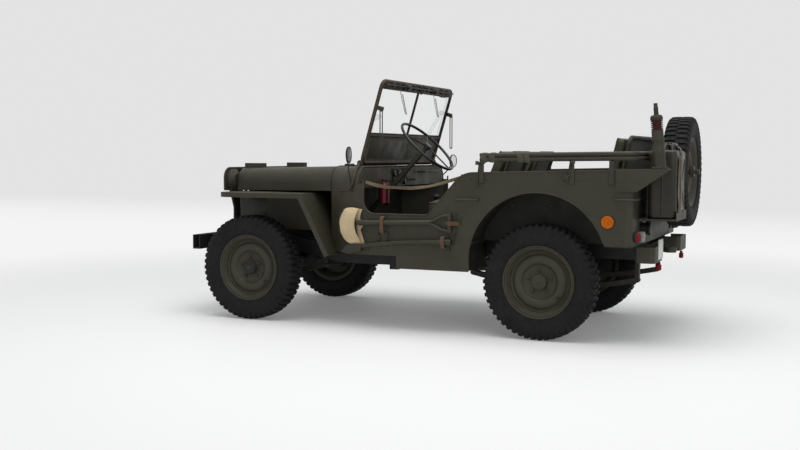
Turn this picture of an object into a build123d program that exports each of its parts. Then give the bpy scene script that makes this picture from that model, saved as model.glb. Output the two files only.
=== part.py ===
"""Open army 4x4 car: a light field car with a pressed steel tub and a folding windscreen.

Millimetres. X points forward, Y to the driver's left, Z up. The origin is on the ground, under the middle.
"""

import os
from math import cos, pi, radians, sin, sqrt

from build123d import *

# Layout of wheels
WHEELBASE = 2032
FRONT_AXLE_X = 1162
REAR_AXLE_X = FRONT_AXLE_X - WHEELBASE
TRACK = 1245
WHEEL_Y = TRACK / 2

# Tyres and disc wheels
TYRE_R = 354
TYRE_SECTION = 160
TREAD_WIDTH = 128
LUG_COUNT = 18
TYRE_SIDES = 16
LUG_HEIGHT = 12
LUG_FACE = 0.44
LUG_FOOT = 0.6
SIDEWALL = 8
RIM_FLANGE_R = 223.5
RIM_FLANGE_Y = 64.5
RIM_SEAT_R = 204
RIM_WELL_R = 181
RIM_WALL = 6
BRAKE_DRUM_R = 125
HUB_R = 52
SPINDLE_R = 28
AXLE_Z = TYRE_R

# Clearances
FIT = 0.3
SEAM = 6

# Steering
KINGPIN_Y = 500
BALL_R = 58
KNUCKLE_WALL = 12
STEERING_WHEEL = (-4, 330, 1175)
STEERING_WHEEL_R = 216
STEERING_TILT = 43.5
COLUMN_R = 18
STEERING_GEAR_RISE = 54
COLUMN_DIRECTION = Vector(sin(radians(STEERING_TILT)), 0, -cos(radians(STEERING_TILT)))

# Frame and bumpers
RAIL_Y = 371
RAIL_WIDTH = 50
RAIL_HEIGHT = 100
RAIL_LOW_Z = 383
RAIL_FRONT_Z = 457
RAIL_REAR_Z = 484
RAIL_REAR_X = -1441
BUMPER_FACE_X = 1664
BUMPER_DEPTH = 60
BUMPER_HALF_LENGTH = 600
BUMPER_Z = 457
BUMPER_HEIGHT = 99
TOW_EYE_R = 38
TOW_BORE_R = 18
TOW_EYE_HEIGHT = 36
TOW_EYE_REACH = 96

# Springs and axle tubes
AXLE_TUBE_R = 38
SPRING_Y = 346
SPRING_WIDTH = 44
SPRING_PACK = 32
FRONT_SPRING_LENGTH = 820
REAR_SPRING_LENGTH = 1060
SPRING_RISE = 60

# Tub
SKIN = 6
BODY_Y = 749
BODY_REAR_X = -1441
CORNER_R = 45
TUB_TOP_REAR_Z = 1033
TUB_TOP_FRONT_X = -483
TUB_TOP_FRONT_Z = 1010
FLOOR_Z = RAIL_LOW_Z + RAIL_HEIGHT
REAR_FLOOR_Z = RAIL_REAR_Z + RAIL_HEIGHT
COLUMN_LENGTH = (STEERING_WHEEL[2] - FLOOR_Z - STEERING_GEAR_RISE) / cos(radians(STEERING_TILT))
SUMP_Z = 404
SUMP_FRONT_X = 36
SILL_Z = 745
ARCH_R = 430
ARCH_X = REAR_AXLE_X - 2
ARCH_Z = 470
WHEEL_BOX_WIDTH = 230

# Cowl, dash and hood
COWL_REAR_X = 300
COWL_FRONT_X = 580
COWL_REAR_HALF = BODY_Y
COWL_FRONT_HALF = 578
COWL_REAR_Z = 1045
COWL_FRONT_Z = 1040
SHOULDER_R = 110
DASH_BOTTOM_Z = 905
TOE_X = 420
TOE_TOP_Z = 700
HOOD_FRONT_X = 1405
HOOD_FRONT_HALF = 420
HOOD_FRONT_Z = 1022
HOOD_SIDE_Z = 876
HOOD_PIN_R = 5
HOOD_HINGE_X = COWL_FRONT_X + 3
HOOD_HINGE_Z = COWL_FRONT_Z + 9.6

# Fenders, grille and lamps
FENDER_Y = 735
FENDER_Z = 863
FENDER_SHEET = 6
FENDER_LIP = 32
FENDER_FRONT_X = 1392
FENDER_KNEE_X = 732
FENDER_TAIL_X = 525
FENDER_TAIL_Z = 466
FENDER_CORNER_R = 110
APRON_Y = 384
APRON_Z = 600
GRILLE_X = 1470
GRILLE_SHEET = 12
GRILLE_HALF = 500
GRILLE_LOW_HALF = 376
GRILLE_BOTTOM_Z = 560
GRILLE_TOP_Z = 1030
SLOT_COUNT = 9
SLOT_PITCH = 62
SLOT_WIDTH = 36
HEADLAMP_R = 76
HEADLAMP_Y = 405
HEADLAMP_Z = 940

# Windscreen, measured along its leaning plane from the pivot
SCREEN_PIVOT_X = 340.5
SCREEN_PIVOT_Z = 1068
SCREEN_LEAN = 16.2
SCREEN_HALF = 632
SCREEN_TOP = 560
SCREEN_FOOT = -12
SCREEN_TUBE = 30
SCREEN_THICK = 22
SCREEN_HEADER = 58
SCREEN_BEND = 45
SCREEN_FOOT_BEND = 10
GLASS_BOTTOM = 197
GLASS_THICK = 6
SCREEN_POST = 24
SCREEN_PIN_R = 6

# Seats
SEAT_Y = 305
SEAT_WIDTH = 400
SEAT_FRONT_X = -58
SEAT_DEPTH = 420
SEAT_TOP_Z = 809
CUSHION = 75
BACK_TOP_X = -625
BACK_TOP_Z = 1137
BACK_PAD = 60
SEAT_TUBE_R = 13
SEAT_BEND = 40
REAR_SEAT_FRONT_X = -880
REAR_SEAT_DEPTH = 370
REAR_SEAT_HALF = 455
REAR_SEAT_TOP_Z = 850
REAR_BACK_TOP_Z = 1230
REAR_BACK_X = -1290

# Stowage at the back
SPARE_STANDOFF = 129
SPARE_X = BODY_REAR_X - SPARE_STANDOFF
SPARE_Y = -195
SPARE_Z = 1015
CAN_DEPTH = 165
CAN_WIDTH = 345
CAN_HEIGHT = 445
CAN_STANDOFF = 54
CAN_FRONT_X = BODY_REAR_X - CAN_STANDOFF
CAN_Y = 412
CAN_Z = 750
ANTENNA_STANDOFF = 144
ANTENNA = (BODY_REAR_X - ANTENNA_STANDOFF, 700, 1043)
ANTENNA_LEAN = 5
ANTENNA_R = 36
BOW_R = 13.5
BOW_Y = 745
BOW_FRONT_X = -518
BOW_OVERHANG = 25
BOW_REAR_X = BODY_REAR_X - BOW_OVERHANG
BOW_Z = 1091
BOW_BEND = 60

BOTTOM = (Align.CENTER, Align.CENTER, Align.MIN)


def slab(x, y, z):
    """A box between three pairs of limits."""
    middle = Pos((x[0] + x[1]) / 2, (y[0] + y[1]) / 2, (z[0] + z[1]) / 2)
    return middle * Box(x[1] - x[0], y[1] - y[0], z[1] - z[0])


def rod(start, end, radius):
    """A round bar from one point to another."""
    line = Vector(*end) - Vector(*start)
    return Plane(origin=start, z_dir=line) * Cylinder(radius, line.length, align=BOTTOM)


def pipe(points, bend, radius):
    """A round bar along straight runs with rounded bends."""
    path = FilletPolyline(*points, radius=bend)
    return sweep(Plane(origin=path @ 0, z_dir=path % 0) * Circle(radius), path=path)


def side_cut(points, y, bends=0):
    """An outline of (x, z) points, each corner rounded by its bend, drawn out between two y limits."""
    face = make_face(FilletPolyline(*points, radius=bends, close=True))
    return extrude(Plane.XZ.offset(-y[1]) * face, amount=y[1] - y[0], dir=(0, -1, 0))


def front_cut(points, x, bends=0):
    """An outline of (y, z) points, each corner rounded by its bend, drawn out between two x limits."""
    face = make_face(FilletPolyline(*points, radius=bends, close=True))
    return extrude(Plane.YZ.offset(x[0]) * face, amount=x[1] - x[0], dir=(1, 0, 0))


def plan_cut(points, z, bends=0):
    """An outline of (x, y) points, each corner rounded by its bend, drawn out between two z limits."""
    face = make_face(FilletPolyline(*points, radius=bends, close=True))
    return extrude(Plane.XY.offset(z[0]) * face, amount=z[1] - z[0], dir=(0, 0, 1))


def other_side(shape):
    """The same shape on the other side of the car."""
    return mirror(shape, about=Plane.XZ)


def both_sides(shape):
    """A shape and its mirror image, as solids that don't touch."""
    return [shape, other_side(shape)]


def group(shapes):
    """Separate solids that one node holds."""
    solids = [solid for shape in shapes for solid in shape.solids()]
    return Compound(children=solids)


def spin(profile, axis=Axis.X):
    """A closed outline of (along, radius) points turned about the long axis."""
    return revolve(make_face(Polyline(*profile, close=True)), axis)


# Wheels: X points outward from the wheel's centre.
def ring(radius, x):
    """Corners of a many-sided ring about the axle; its sides clear a circle of the radius."""
    pitch = 2 * pi / TYRE_SIDES
    reach = radius / cos(pitch / 2)
    turns = [(index + 0.5) * pitch for index in range(TYRE_SIDES)]
    return [(x, reach * cos(turn), reach * sin(turn)) for turn in turns]


def lug_row(shift, x):
    """Corners of one row of lugs, the row turned by a share of the pitch."""
    pitch = 2 * pi / LUG_COUNT
    tip, root = TYRE_R / cos(pitch * LUG_FACE / 2), TYRE_R - LUG_HEIGHT
    corners = []
    for index in range(LUG_COUNT):
        for share, radius in ((-LUG_FOOT, root), (-LUG_FACE, tip), (LUG_FACE, tip), (LUG_FOOT, root)):
            turn = (index + shift + share / 2) * pitch
            corners.append((x, radius * cos(turn), radius * sin(turn)))
    return corners


def flat_face(corners):
    return make_face(Polyline(*corners, close=True))


def frustum(radius, x, end_radius, end_x):
    """A many-sided block with flat sides between two rings."""
    start, end = ring(radius, x), ring(end_radius, end_x)
    faces = [flat_face(start), flat_face(end)]
    for index in range(TYRE_SIDES):
        faces.append(flat_face([start[index - 1], start[index], end[index], end[index - 1]]))
    return Solid(Shell(faces))


def tyre_shape():
    """Two rows of staggered bar lugs between bulging sidewalls, open where the rim goes."""
    half, tread = TYRE_SECTION / 2, TREAD_WIDTH / 2
    bead = RIM_FLANGE_Y - RIM_WALL - FIT
    over_flange, bulge_r = RIM_FLANGE_R + FIT, (TYRE_R + RIM_FLANGE_R) / 2
    tyre = extrude(flat_face(lug_row(0, 0)), amount=tread, dir=(1, 0, 0))
    tyre += extrude(flat_face(lug_row(0.5, 0)), amount=tread, dir=(-1, 0, 0))
    for side in (1, -1):
        tyre += frustum(TYRE_R - LUG_HEIGHT, side * tread, bulge_r, side * half)
        tyre -= frustum(over_flange, side * RIM_FLANGE_Y, bulge_r - SIDEWALL, side * half)
        tyre -= frustum(over_flange, side * bead, over_flange, side * RIM_FLANGE_Y)
    return tyre - frustum(RIM_SEAT_R + FIT, -bead, RIM_SEAT_R + FIT, bead)


def wheel_shape():
    lip, wall = RIM_FLANGE_Y, RIM_WALL
    well = 24
    dish = 34
    rim = [
        (lip, RIM_FLANGE_R),
        (lip - wall, RIM_FLANGE_R),
        (lip - wall, RIM_SEAT_R),
        (well, RIM_WELL_R),
        (-well, RIM_WELL_R),
        (wall - lip, RIM_SEAT_R),
        (wall - lip, RIM_FLANGE_R),
        (-lip, RIM_FLANGE_R),
        (-lip, RIM_SEAT_R - wall),
        (-well, RIM_WELL_R - wall),
        (well - wall, RIM_WELL_R - wall),
        (dish - wall, RIM_WELL_R - 45),
        (dish - 2 * wall, HUB_R + 40),
        (dish - 2 * wall, SPINDLE_R + FIT),
        (dish + 18, SPINDLE_R + FIT),
        (dish + 18, HUB_R - 8),
        (dish - wall, HUB_R),
        (dish - wall, HUB_R + 40),
        (dish, RIM_WELL_R - 45),
        (well, RIM_WELL_R - wall),
        (lip, RIM_SEAT_R - wall),
    ]
    return spin(rim)


def on_axle(shape, x, side):
    """A wheel part, drawn along X, turned to face outward at one end of an axle."""
    return Pos(x, side * WHEEL_Y, AXLE_Z) * Rot(0, 0, 90 * side) * shape


# Chassis
RAIL_BENDS = [
    # x, foot of the rail
    (RAIL_REAR_X, RAIL_REAR_Z),
    (-470, RAIL_REAR_Z),
    (-300, RAIL_LOW_Z),
    (630, RAIL_LOW_Z),
    (970, RAIL_FRONT_Z),
    (BUMPER_FACE_X - BUMPER_DEPTH, RAIL_FRONT_Z),
]
CROSS_MEMBERS = [
    # rear x, front x, low z, high z
    (RAIL_REAR_X, RAIL_REAR_X + 50, RAIL_REAR_Z, RAIL_REAR_Z + 80),
    (-690, -620, RAIL_REAR_Z + 50, RAIL_REAR_Z + 90),
    (-260, -200, FLOOR_Z - 40, FLOOR_Z),
    (1140, 1210, RAIL_FRONT_Z + 13, RAIL_FRONT_Z + 43),
    (1330, 1390, RAIL_FRONT_Z + 43, RAIL_FRONT_Z + 96),
    (GRILLE_X - 30, GRILLE_X + 20, RAIL_FRONT_Z + 43, GRILLE_BOTTOM_Z),
]


def rail_foot(x):
    """Height of the rail's underside at a place along the car."""
    for (rear_x, rear_z), (front_x, front_z) in zip(RAIL_BENDS, RAIL_BENDS[1:]):
        if x <= front_x:
            break
    return rear_z + (front_z - rear_z) * (x - rear_x) / (front_x - rear_x)


def frame():
    top = [(x, z + RAIL_HEIGHT) for x, z in reversed(RAIL_BENDS)]
    rail = side_cut(RAIL_BENDS + top, (RAIL_Y - RAIL_WIDTH, RAIL_Y))
    ladder = rail + other_side(rail)
    reach = RAIL_Y - RAIL_WIDTH / 2
    for rear, front, low, high in CROSS_MEMBERS:
        ladder += slab((rear, front), (-reach, reach), (low, high))
    return ladder + slab((190, 250), (-RAIL_Y, RAIL_Y), (RAIL_LOW_Z - 30, RAIL_LOW_Z))


def front_bumper():
    back = BUMPER_FACE_X - BUMPER_DEPTH
    half, wall = BUMPER_HALF_LENGTH, 8
    z = (BUMPER_Z, BUMPER_Z + BUMPER_HEIGHT)
    channel = slab((back, BUMPER_FACE_X), (-half, half), z)
    return channel - slab((back + wall, BUMPER_FACE_X - wall), (-half, half), (z[0] + wall, z[1] + wall))


def rear_bumperettes():
    back, front = RAIL_REAR_X - 106, RAIL_REAR_X
    z = (RAIL_REAR_Z + 3, RAIL_REAR_Z + 98)
    wall = 8
    outer = plan_cut([(front, 330), (back, 330), (back, 600), (front, 600)], z, [0, 30, 30, 0])
    inner = [(front, 330 + wall), (back + wall, 330 + wall), (back + wall, 600 - wall), (front, 600 - wall)]
    inner = plan_cut(inner, (z[0] - 1, z[1] + 1), [0, 30 - wall, 30 - wall, 0])
    hook_z = RAIL_REAR_Z + 40
    hook = slab((front - 24, front), (-55, 55), (hook_z - 45, hook_z + 38))
    hook += rod((front - 20, 0, hook_z), (front - 70, 0, hook_z), TOW_EYE_HEIGHT / 2)
    eye = Pos(front - TOW_EYE_REACH, 0, hook_z)
    hook += eye * Cylinder(TOW_EYE_R, TOW_EYE_HEIGHT)
    hook -= eye * Cylinder(TOW_BORE_R, TOW_EYE_HEIGHT)
    return group(both_sides(outer - inner) + [hook])


DIFF_Y = -170
DIFF_R = 108
BACKING_IN = -56
BACKING_OUT = -51
SPINDLE_OUT = 52
BACKING_R = BRAKE_DRUM_R + 4


def axle_tube(x, reach):
    """An axle tube with its differential off to the right."""
    tube = rod((x, -reach, AXLE_Z), (x, reach, AXLE_Z), AXLE_TUBE_R)
    return tube + Pos(x, DIFF_Y, AXLE_Z) * Sphere(DIFF_R)


def front_axle():
    axle = axle_tube(FRONT_AXLE_X, KINGPIN_Y)
    for side in (1, -1):
        axle += Pos(FRONT_AXLE_X, side * KINGPIN_Y, AXLE_Z) * Sphere(BALL_R)
    return axle


def spindle():
    """The backing plate and stub that carry a wheel, drawn along X like the wheel."""
    plate = spin([(BACKING_IN, 0), (BACKING_IN, BACKING_R), (BACKING_OUT, BACKING_R), (BACKING_OUT, 0)])
    stub = spin([(BACKING_IN, 0), (BACKING_IN, SPINDLE_R), (SPINDLE_OUT, SPINDLE_R), (SPINDLE_OUT, 0)])
    return plate + stub


def rear_axle():
    axle = axle_tube(REAR_AXLE_X, WHEEL_Y + BACKING_IN)
    return axle + on_axle(spindle(), REAR_AXLE_X, 1) + on_axle(spindle(), REAR_AXLE_X, -1)


def knuckle_left():
    """The outer half of the steering ball's housing, with its stub, kingpin caps and steering arm."""
    centre = Pos(FRONT_AXLE_X, KINGPIN_Y, AXLE_Z)
    outer_r = BALL_R + KNUCKLE_WALL
    housing = Sphere(outer_r) - Sphere(BALL_R + FIT)
    housing &= slab((-outer_r, outer_r), (0, outer_r), (-outer_r, outer_r))
    cap_z = BALL_R + KNUCKLE_WALL / 2
    for end in (1, -1):
        housing += rod((0, 15, end * cap_z), (0, 15, end * (cap_z + 22)), 14)
    arm_start = Vector(-0.48, 0.62, -0.62) * (outer_r - 2)
    housing += rod(arm_start, (-150, 20, -58), 8)
    return centre * housing + on_axle(spindle(), FRONT_AXLE_X, 1)


SPRINGS = [
    # axle x, length
    (FRONT_AXLE_X, FRONT_SPRING_LENGTH),
    (REAR_AXLE_X, REAR_SPRING_LENGTH),
]
SPRING_EYE_R = 16
HANGER = 24


def leaf_spring(x, length):
    """A bowed spring under the axle with an eye and a hanger at each end."""
    middle = AXLE_Z - AXLE_TUBE_R - FIT - SPRING_PACK / 2
    eye_z = middle + SPRING_RISE
    edges = []
    for lift in (-SPRING_PACK / 2, SPRING_PACK / 2):
        start, end = (x - length / 2, eye_z + lift), (x + length / 2, eye_z + lift)
        edges.append(ThreePointArc(start, (x, middle + lift), end))
    for end in (0, 1):
        edges.append(Line(edges[0] @ end, edges[1] @ end))
    y = (SPRING_Y - SPRING_WIDTH / 2, SPRING_Y + SPRING_WIDTH / 2)
    spring = extrude(Plane.XZ.offset(-y[1]) * make_face(edges), amount=SPRING_WIDTH, dir=(0, -1, 0))
    for eye_x in (x - length / 2, x + length / 2):
        spring += rod((eye_x, y[0], eye_z), (eye_x, y[1], eye_z), SPRING_EYE_R)
        rear, front = eye_x - HANGER / 2, eye_x + HANGER / 2
        ends = [(rear, eye_z), (front, eye_z), (front, rail_foot(front)), (rear, rail_foot(rear))]
        spring += side_cut(ends, y)
    return spring


def leaf_springs():
    springs = [leaf_spring(*row) for row in SPRINGS]
    return group(both_sides(springs[0]) + both_sides(springs[1]))


ENGINE_REAR_X = 700
ENGINE_FRONT_X = 1250
ENGINE_HALF = 130


def engine():
    floor = RAIL_FRONT_Z + 43
    block = slab((ENGINE_REAR_X, ENGINE_FRONT_X), (-ENGINE_HALF, ENGINE_HALF), (floor, 930))
    return chamfer(block.edges().filter_by(Axis.X), 25)


def drivetrain():
    """Bell housing, gearbox and transfer case in one casting, with a shaft to each axle."""
    shaft_z, shaft_r = 425, 20
    casing = slab((590, ENGINE_REAR_X), (-110, 110), (RAIL_LOW_Z, 640))
    casing += slab((330, 590), (-95, 95), (RAIL_LOW_Z, FLOOR_Z - 5))
    casing += slab((120, 330), (-225, 90), (RAIL_LOW_Z, FLOOR_Z - 5))
    reach = DIFF_R + 5 * FIT
    shafts = rod((330, DIFF_Y, shaft_z), (FRONT_AXLE_X - reach, DIFF_Y, AXLE_Z), shaft_r)
    shafts += rod((120, DIFF_Y, shaft_z), (REAR_AXLE_X + reach, DIFF_Y, AXLE_Z), shaft_r)
    return casing + shafts


def exhaust():
    y, z, r = -500, 328, 55
    front = [(900, -ENGINE_HALF, 600), (900, -260, 600), (840, -270, z), (120, -290, z), (40, y, z), (-25, y, z)]
    tail = [(-365, y, z), (-430, y, z), (-450, 15 - BODY_Y, z - 10)]
    system = pipe(front, 30, 20) + pipe(tail, 30, 20)
    system += rod((-20, y, z), (-370, y, z), r)
    for x in (-90, -300):
        system += slab((x - 12, x + 12), (y - 3, y + 3), (z, FLOOR_Z))
    return system


# Tub
SIDE_REAR_X = BODY_REAR_X + CORNER_R + 10
SIDE_REAR_Z = REAR_FLOOR_Z + SKIN
INSIDE_Y = BODY_Y - SKIN
BOX_INNER_Y = INSIDE_Y - WHEEL_BOX_WIDTH
DOOR_REAR_TOP_X = -405
DOOR_REAR_X = -178
DOOR_FRONT_X = 265
PILLAR_Z = COWL_REAR_Z - SHOULDER_R


def body_side(skirt=False):
    """A side panel with its door opening and rear wheel arch, and a skirt where the fuel sump hangs."""
    inside_arch = ARCH_X + ARCH_R * 0.6
    outline = [
        # x, z, corner radius
        (SIDE_REAR_X, SIDE_REAR_Z, 0),
        (SIDE_REAR_X, TUB_TOP_REAR_Z, 0),
        (DOOR_REAR_TOP_X, TUB_TOP_FRONT_Z, 150),
        (DOOR_REAR_X, SILL_Z, 45),
        (DOOR_FRONT_X, SILL_Z, 80),
        (DOOR_FRONT_X, PILLAR_Z, 0),
        (COWL_REAR_X, PILLAR_Z, 0),
        (COWL_REAR_X, FLOOR_Z, 0),
        (inside_arch, FLOOR_Z, 0),
        (inside_arch, SIDE_REAR_Z, 0),
    ]
    panel = side_cut([row[:2] for row in outline], (INSIDE_Y, BODY_Y), [row[2] for row in outline])
    if skirt:
        panel += slab((inside_arch, SUMP_FRONT_X), (INSIDE_Y, BODY_Y), (SUMP_Z, FLOOR_Z))
    return panel - rod((ARCH_X, 0, ARCH_Z), (ARCH_X, BODY_Y + 1, ARCH_Z), ARCH_R)


def rear_panel():
    front = SIDE_REAR_X
    z = (SIDE_REAR_Z, TUB_TOP_REAR_Z)
    shells = []
    for gap in (0, SKIN):
        y, rear = BODY_Y - gap, BODY_REAR_X + gap
        corners = [(front, -y), (rear, -y), (rear, y), (front, y)]
        shells.append(plan_cut(corners, z, [0, CORNER_R - gap, CORNER_R - gap, 0]))
    return shells[0] - shells[1]


def wheel_boxes():
    """Half-round housings over the rear wheels, open to the outside."""
    y = (BOX_INNER_Y, INSIDE_Y)
    centre = (ARCH_X, BOX_INNER_Y, ARCH_Z)
    box = rod(centre, (ARCH_X, INSIDE_Y, ARCH_Z), ARCH_R + SKIN)
    box -= rod((ARCH_X, BOX_INNER_Y + SKIN, ARCH_Z), (ARCH_X, INSIDE_Y, ARCH_Z), ARCH_R)
    reach = ARCH_R + SKIN + 1
    box &= slab((ARCH_X - reach, ARCH_X + reach), y, (SIDE_REAR_Z, ARCH_Z + reach))
    return group(both_sides(box))


COWL_SECTIONS = [
    # x, half width, foot, top, shoulder radius
    (COWL_REAR_X, COWL_REAR_HALF, FLOOR_Z, COWL_REAR_Z, SHOULDER_R),
    (COWL_FRONT_X, COWL_FRONT_HALF, FLOOR_Z, COWL_FRONT_Z, SHOULDER_R),
]
HOOD_SECTIONS = [
    # x, half width, foot, top, shoulder radius
    (COWL_FRONT_X + SEAM, COWL_FRONT_HALF - 4, HOOD_SIDE_Z + 4, COWL_FRONT_Z, SHOULDER_R),
    (HOOD_FRONT_X, HOOD_FRONT_HALF, HOOD_SIDE_Z - 8, HOOD_FRONT_Z, SHOULDER_R - 15),
]


def arch_loft(sections, inset=0, drop=0):
    """A tunnel with upright sides and round shoulders between two sections, drawn in by inset."""
    faces = []
    for x, half, foot, top, shoulder in sections:
        w, low, high = half - inset, foot - drop, top - inset
        over = FilletPolyline((-w, low), (-w, high), (w, high), (w, low), radius=shoulder - inset)
        faces.append(Plane.YZ.offset(x) * make_face([over, Line((w, low), (-w, low))]))
    return loft(faces, ruled=True)


def tail_point(height):
    """Where the sloping tail of a front fender is at a height."""
    run = (FENDER_KNEE_X - FENDER_TAIL_X) / (FENDER_Z - FENDER_TAIL_Z)
    return FENDER_TAIL_X + (height - FENDER_TAIL_Z) * run


def cowl():
    shell = arch_loft(COWL_SECTIONS) - arch_loft(COWL_SECTIONS, SKIN, 1)
    low, high = FLOOR_Z - 1, FENDER_Z
    behind_tail = [(tail_point(z) - FIT, z) for z in (low, high)]
    under_tail = behind_tail + [(tail_point(high), low)]
    return shell - side_cut(under_tail, (-BODY_Y, BODY_Y))


TOE_FACE = [(COWL_FRONT_X - SKIN, TOE_TOP_Z), (TOE_X - SKIN / 2, FLOOR_Z + SKIN)]


def toe_face(height):
    """Where the toe board's inner face is at a height."""
    (high_x, high_z), (low_x, low_z) = TOE_FACE
    return low_x + (height - low_z) * (high_x - low_x) / (high_z - low_z)


def body_floor():
    """Floor, toe board and firewall in one bent sheet, with the fuel sump under the driver."""
    top = COWL_FRONT_Z - SKIN - FIT
    bends = [(x, foot + RAIL_HEIGHT) for x, foot in RAIL_BENDS if x < 0]
    bends[0] = (BODY_REAR_X + SKIN, bends[0][1])
    toe = [(TOE_X, FLOOR_Z), (COWL_FRONT_X, TOE_TOP_Z), (COWL_FRONT_X, top)]
    over = [(COWL_FRONT_X - SKIN, top)] + TOE_FACE
    over += [(x + SKIN / 4, z + SKIN) for x, z in reversed(bends[1:])]
    over += [(bends[0][0], bends[0][1] + SKIN)]
    edge = INSIDE_Y - FIT
    sheet = side_cut(bends + toe + over, (-edge, edge))
    cabin = sheet & slab((BODY_REAR_X, COWL_REAR_X), (-edge, edge), (0, COWL_REAR_Z))
    footwell = sheet & arch_loft(COWL_SECTIONS, SKIN + FIT)
    arch_reach = ARCH_R + SKIN
    wells = slab((ARCH_X - arch_reach, ARCH_X + arch_reach), (BOX_INNER_Y + SKIN, BODY_Y), (0, FENDER_Z))
    cabin -= wells + other_side(wells)
    column_top = Vector(*STEERING_WHEEL)
    footwell -= rod(column_top, column_top + COLUMN_DIRECTION * COLUMN_LENGTH, COLUMN_R + FIT)
    sump_rear = ARCH_X + ARCH_R + 10
    sump = [
        (sump_rear, SUMP_Z + FIT),
        (SUMP_FRONT_X - 3, SUMP_Z + FIT),
        (SUMP_FRONT_X - 3, FLOOR_Z),
        (bends[2][0], FLOOR_Z),
        (sump_rear, rail_foot(sump_rear) + RAIL_HEIGHT),
    ]
    return cabin + footwell + side_cut(sump, (RAIL_Y + 14, edge))


GAUGES = [
    # y, z, radius
    (70, 975, 45),
    (-20, 1005, 26),
    (-20, 945, 26),
    (150, 1005, 26),
    (150, 945, 26),
]


def dash_panel():
    inset = SKIN + FIT + 4
    half, top = COWL_REAR_HALF - inset, COWL_REAR_Z - inset
    corners = [(-half, DASH_BOTTOM_Z), (-half, top), (half, top), (half, DASH_BOTTOM_Z)]
    round_over = SHOULDER_R - inset
    x = (COWL_REAR_X, COWL_REAR_X + SKIN)
    panel = front_cut(corners, x, [0, round_over, round_over, 0])
    for y, z, radius in GAUGES:
        panel += rod((x[0] - 8, y, z), (x[0], y, z), radius)
    return panel


# Front end
def fender_path(thickness):
    """Side outline of the fender's top and tail at a sheet thickness."""
    run, drop = FENDER_KNEE_X - FENDER_TAIL_X, FENDER_Z - FENDER_TAIL_Z
    slope = sqrt(run**2 + drop**2)
    ahead, below = thickness * drop / slope, thickness * run / slope
    knee = FENDER_KNEE_X + thickness * (slope - run) / drop
    return [
        (FENDER_FRONT_X, FENDER_Z),
        (FENDER_KNEE_X, FENDER_Z),
        (FENDER_TAIL_X, FENDER_TAIL_Z),
        (FENDER_TAIL_X + ahead, FENDER_TAIL_Z - below),
        (knee, FENDER_Z - thickness),
        (FENDER_FRONT_X, FENDER_Z - thickness),
    ]


def fender_left():
    """A flat-topped fender with a turned-down lip, a sloping tail and an inner apron."""
    y = (APRON_Y, FENDER_Y)
    plans = []
    for gap in (0, FENDER_SHEET):
        rear, front, edge = FENDER_TAIL_X - 50, FENDER_FRONT_X - gap, FENDER_Y - gap
        corners = [(rear, APRON_Y), (front, APRON_Y), (front, edge), (rear, edge)]
        plans.append(plan_cut(corners, (0, FENDER_Z), [0, 0, FENDER_CORNER_R - gap, 0]))
    sheet = side_cut(fender_path(FENDER_SHEET), y) & plans[0]
    lip = (side_cut(fender_path(FENDER_LIP), y) & plans[0]) - plans[1]
    under = FENDER_Z - FENDER_SHEET / 2
    apron = [
        (FENDER_FRONT_X - 12, under),
        (FENDER_FRONT_X - 90, APRON_Z),
        (tail_point(APRON_Z) + FENDER_SHEET, APRON_Z),
        (tail_point(under) + FENDER_SHEET, under),
    ]
    wing = sheet + lip + side_cut(apron, (APRON_Y, APRON_Y + FENDER_SHEET))
    return wing - arch_loft(COWL_SECTIONS, -FIT, 1) - slab((0, COWL_FRONT_X), (0, APRON_Y + 90), (0, FENDER_Z))


def grille():
    """A pressed plate with upright slots, round lamp openings and a turned-back top."""
    x = (GRILLE_X - GRILLE_SHEET, GRILLE_X)
    shoulder_z = FENDER_Z + 3
    half_outline = [
        # y, z, corner radius
        (GRILLE_LOW_HALF, GRILLE_BOTTOM_Z, 0),
        (GRILLE_LOW_HALF, FENDER_Z - 120, 20),
        (GRILLE_LOW_HALF + 50, shoulder_z, 20),
        (GRILLE_HALF, shoulder_z, 15),
        (GRILLE_HALF, GRILLE_TOP_Z, 75),
    ]
    outline = half_outline + [(-y, z, bend) for y, z, bend in reversed(half_outline)]
    plate = front_cut([row[:2] for row in outline], x, [row[2] for row in outline])
    slot_z = (GRILLE_BOTTOM_Z + 60, GRILLE_TOP_Z - 75)
    for index in range(SLOT_COUNT):
        y = (index - (SLOT_COUNT - 1) / 2) * SLOT_PITCH
        plate -= slab(x, (y - SLOT_WIDTH / 2, y + SLOT_WIDTH / 2), slot_z)
    for side in (1, -1):
        lamp = (side * HEADLAMP_Y, HEADLAMP_Z)
        plate -= rod((x[0], *lamp), (x[1], *lamp), HEADLAMP_R - 8)
    top = slab((HOOD_FRONT_X + 7, x[0]), (-310, 310), (HOOD_FRONT_Z - 6, HOOD_FRONT_Z))
    return plate + top


def radiator():
    foot = CROSS_MEMBERS[4][3]
    core = slab((1335, 1385), (-290, 290), (foot, 930))
    return core + slab((1330, 1390), (-300, 300), (930, 985))


def headlamps():
    back, front = HOOD_FRONT_X + 8, GRILLE_X - GRILLE_SHEET
    depth = front - back
    bowl = spin([(0, 0), (0, HEADLAMP_R * 0.6), (depth * 0.6, HEADLAMP_R), (depth, HEADLAMP_R), (depth, 0)])
    lens_r = HEADLAMP_R - 8 - FIT
    bowl += spin([(depth, 0), (depth, lens_r), (depth + 6, lens_r * 0.8), (depth + 9, 0)])
    return group(both_sides(Pos(back, HEADLAMP_Y, HEADLAMP_Z) * bowl))


HINGE_YS = (-300, 300)
HINGE_HALF = 40
HINGE_R = 9


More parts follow.
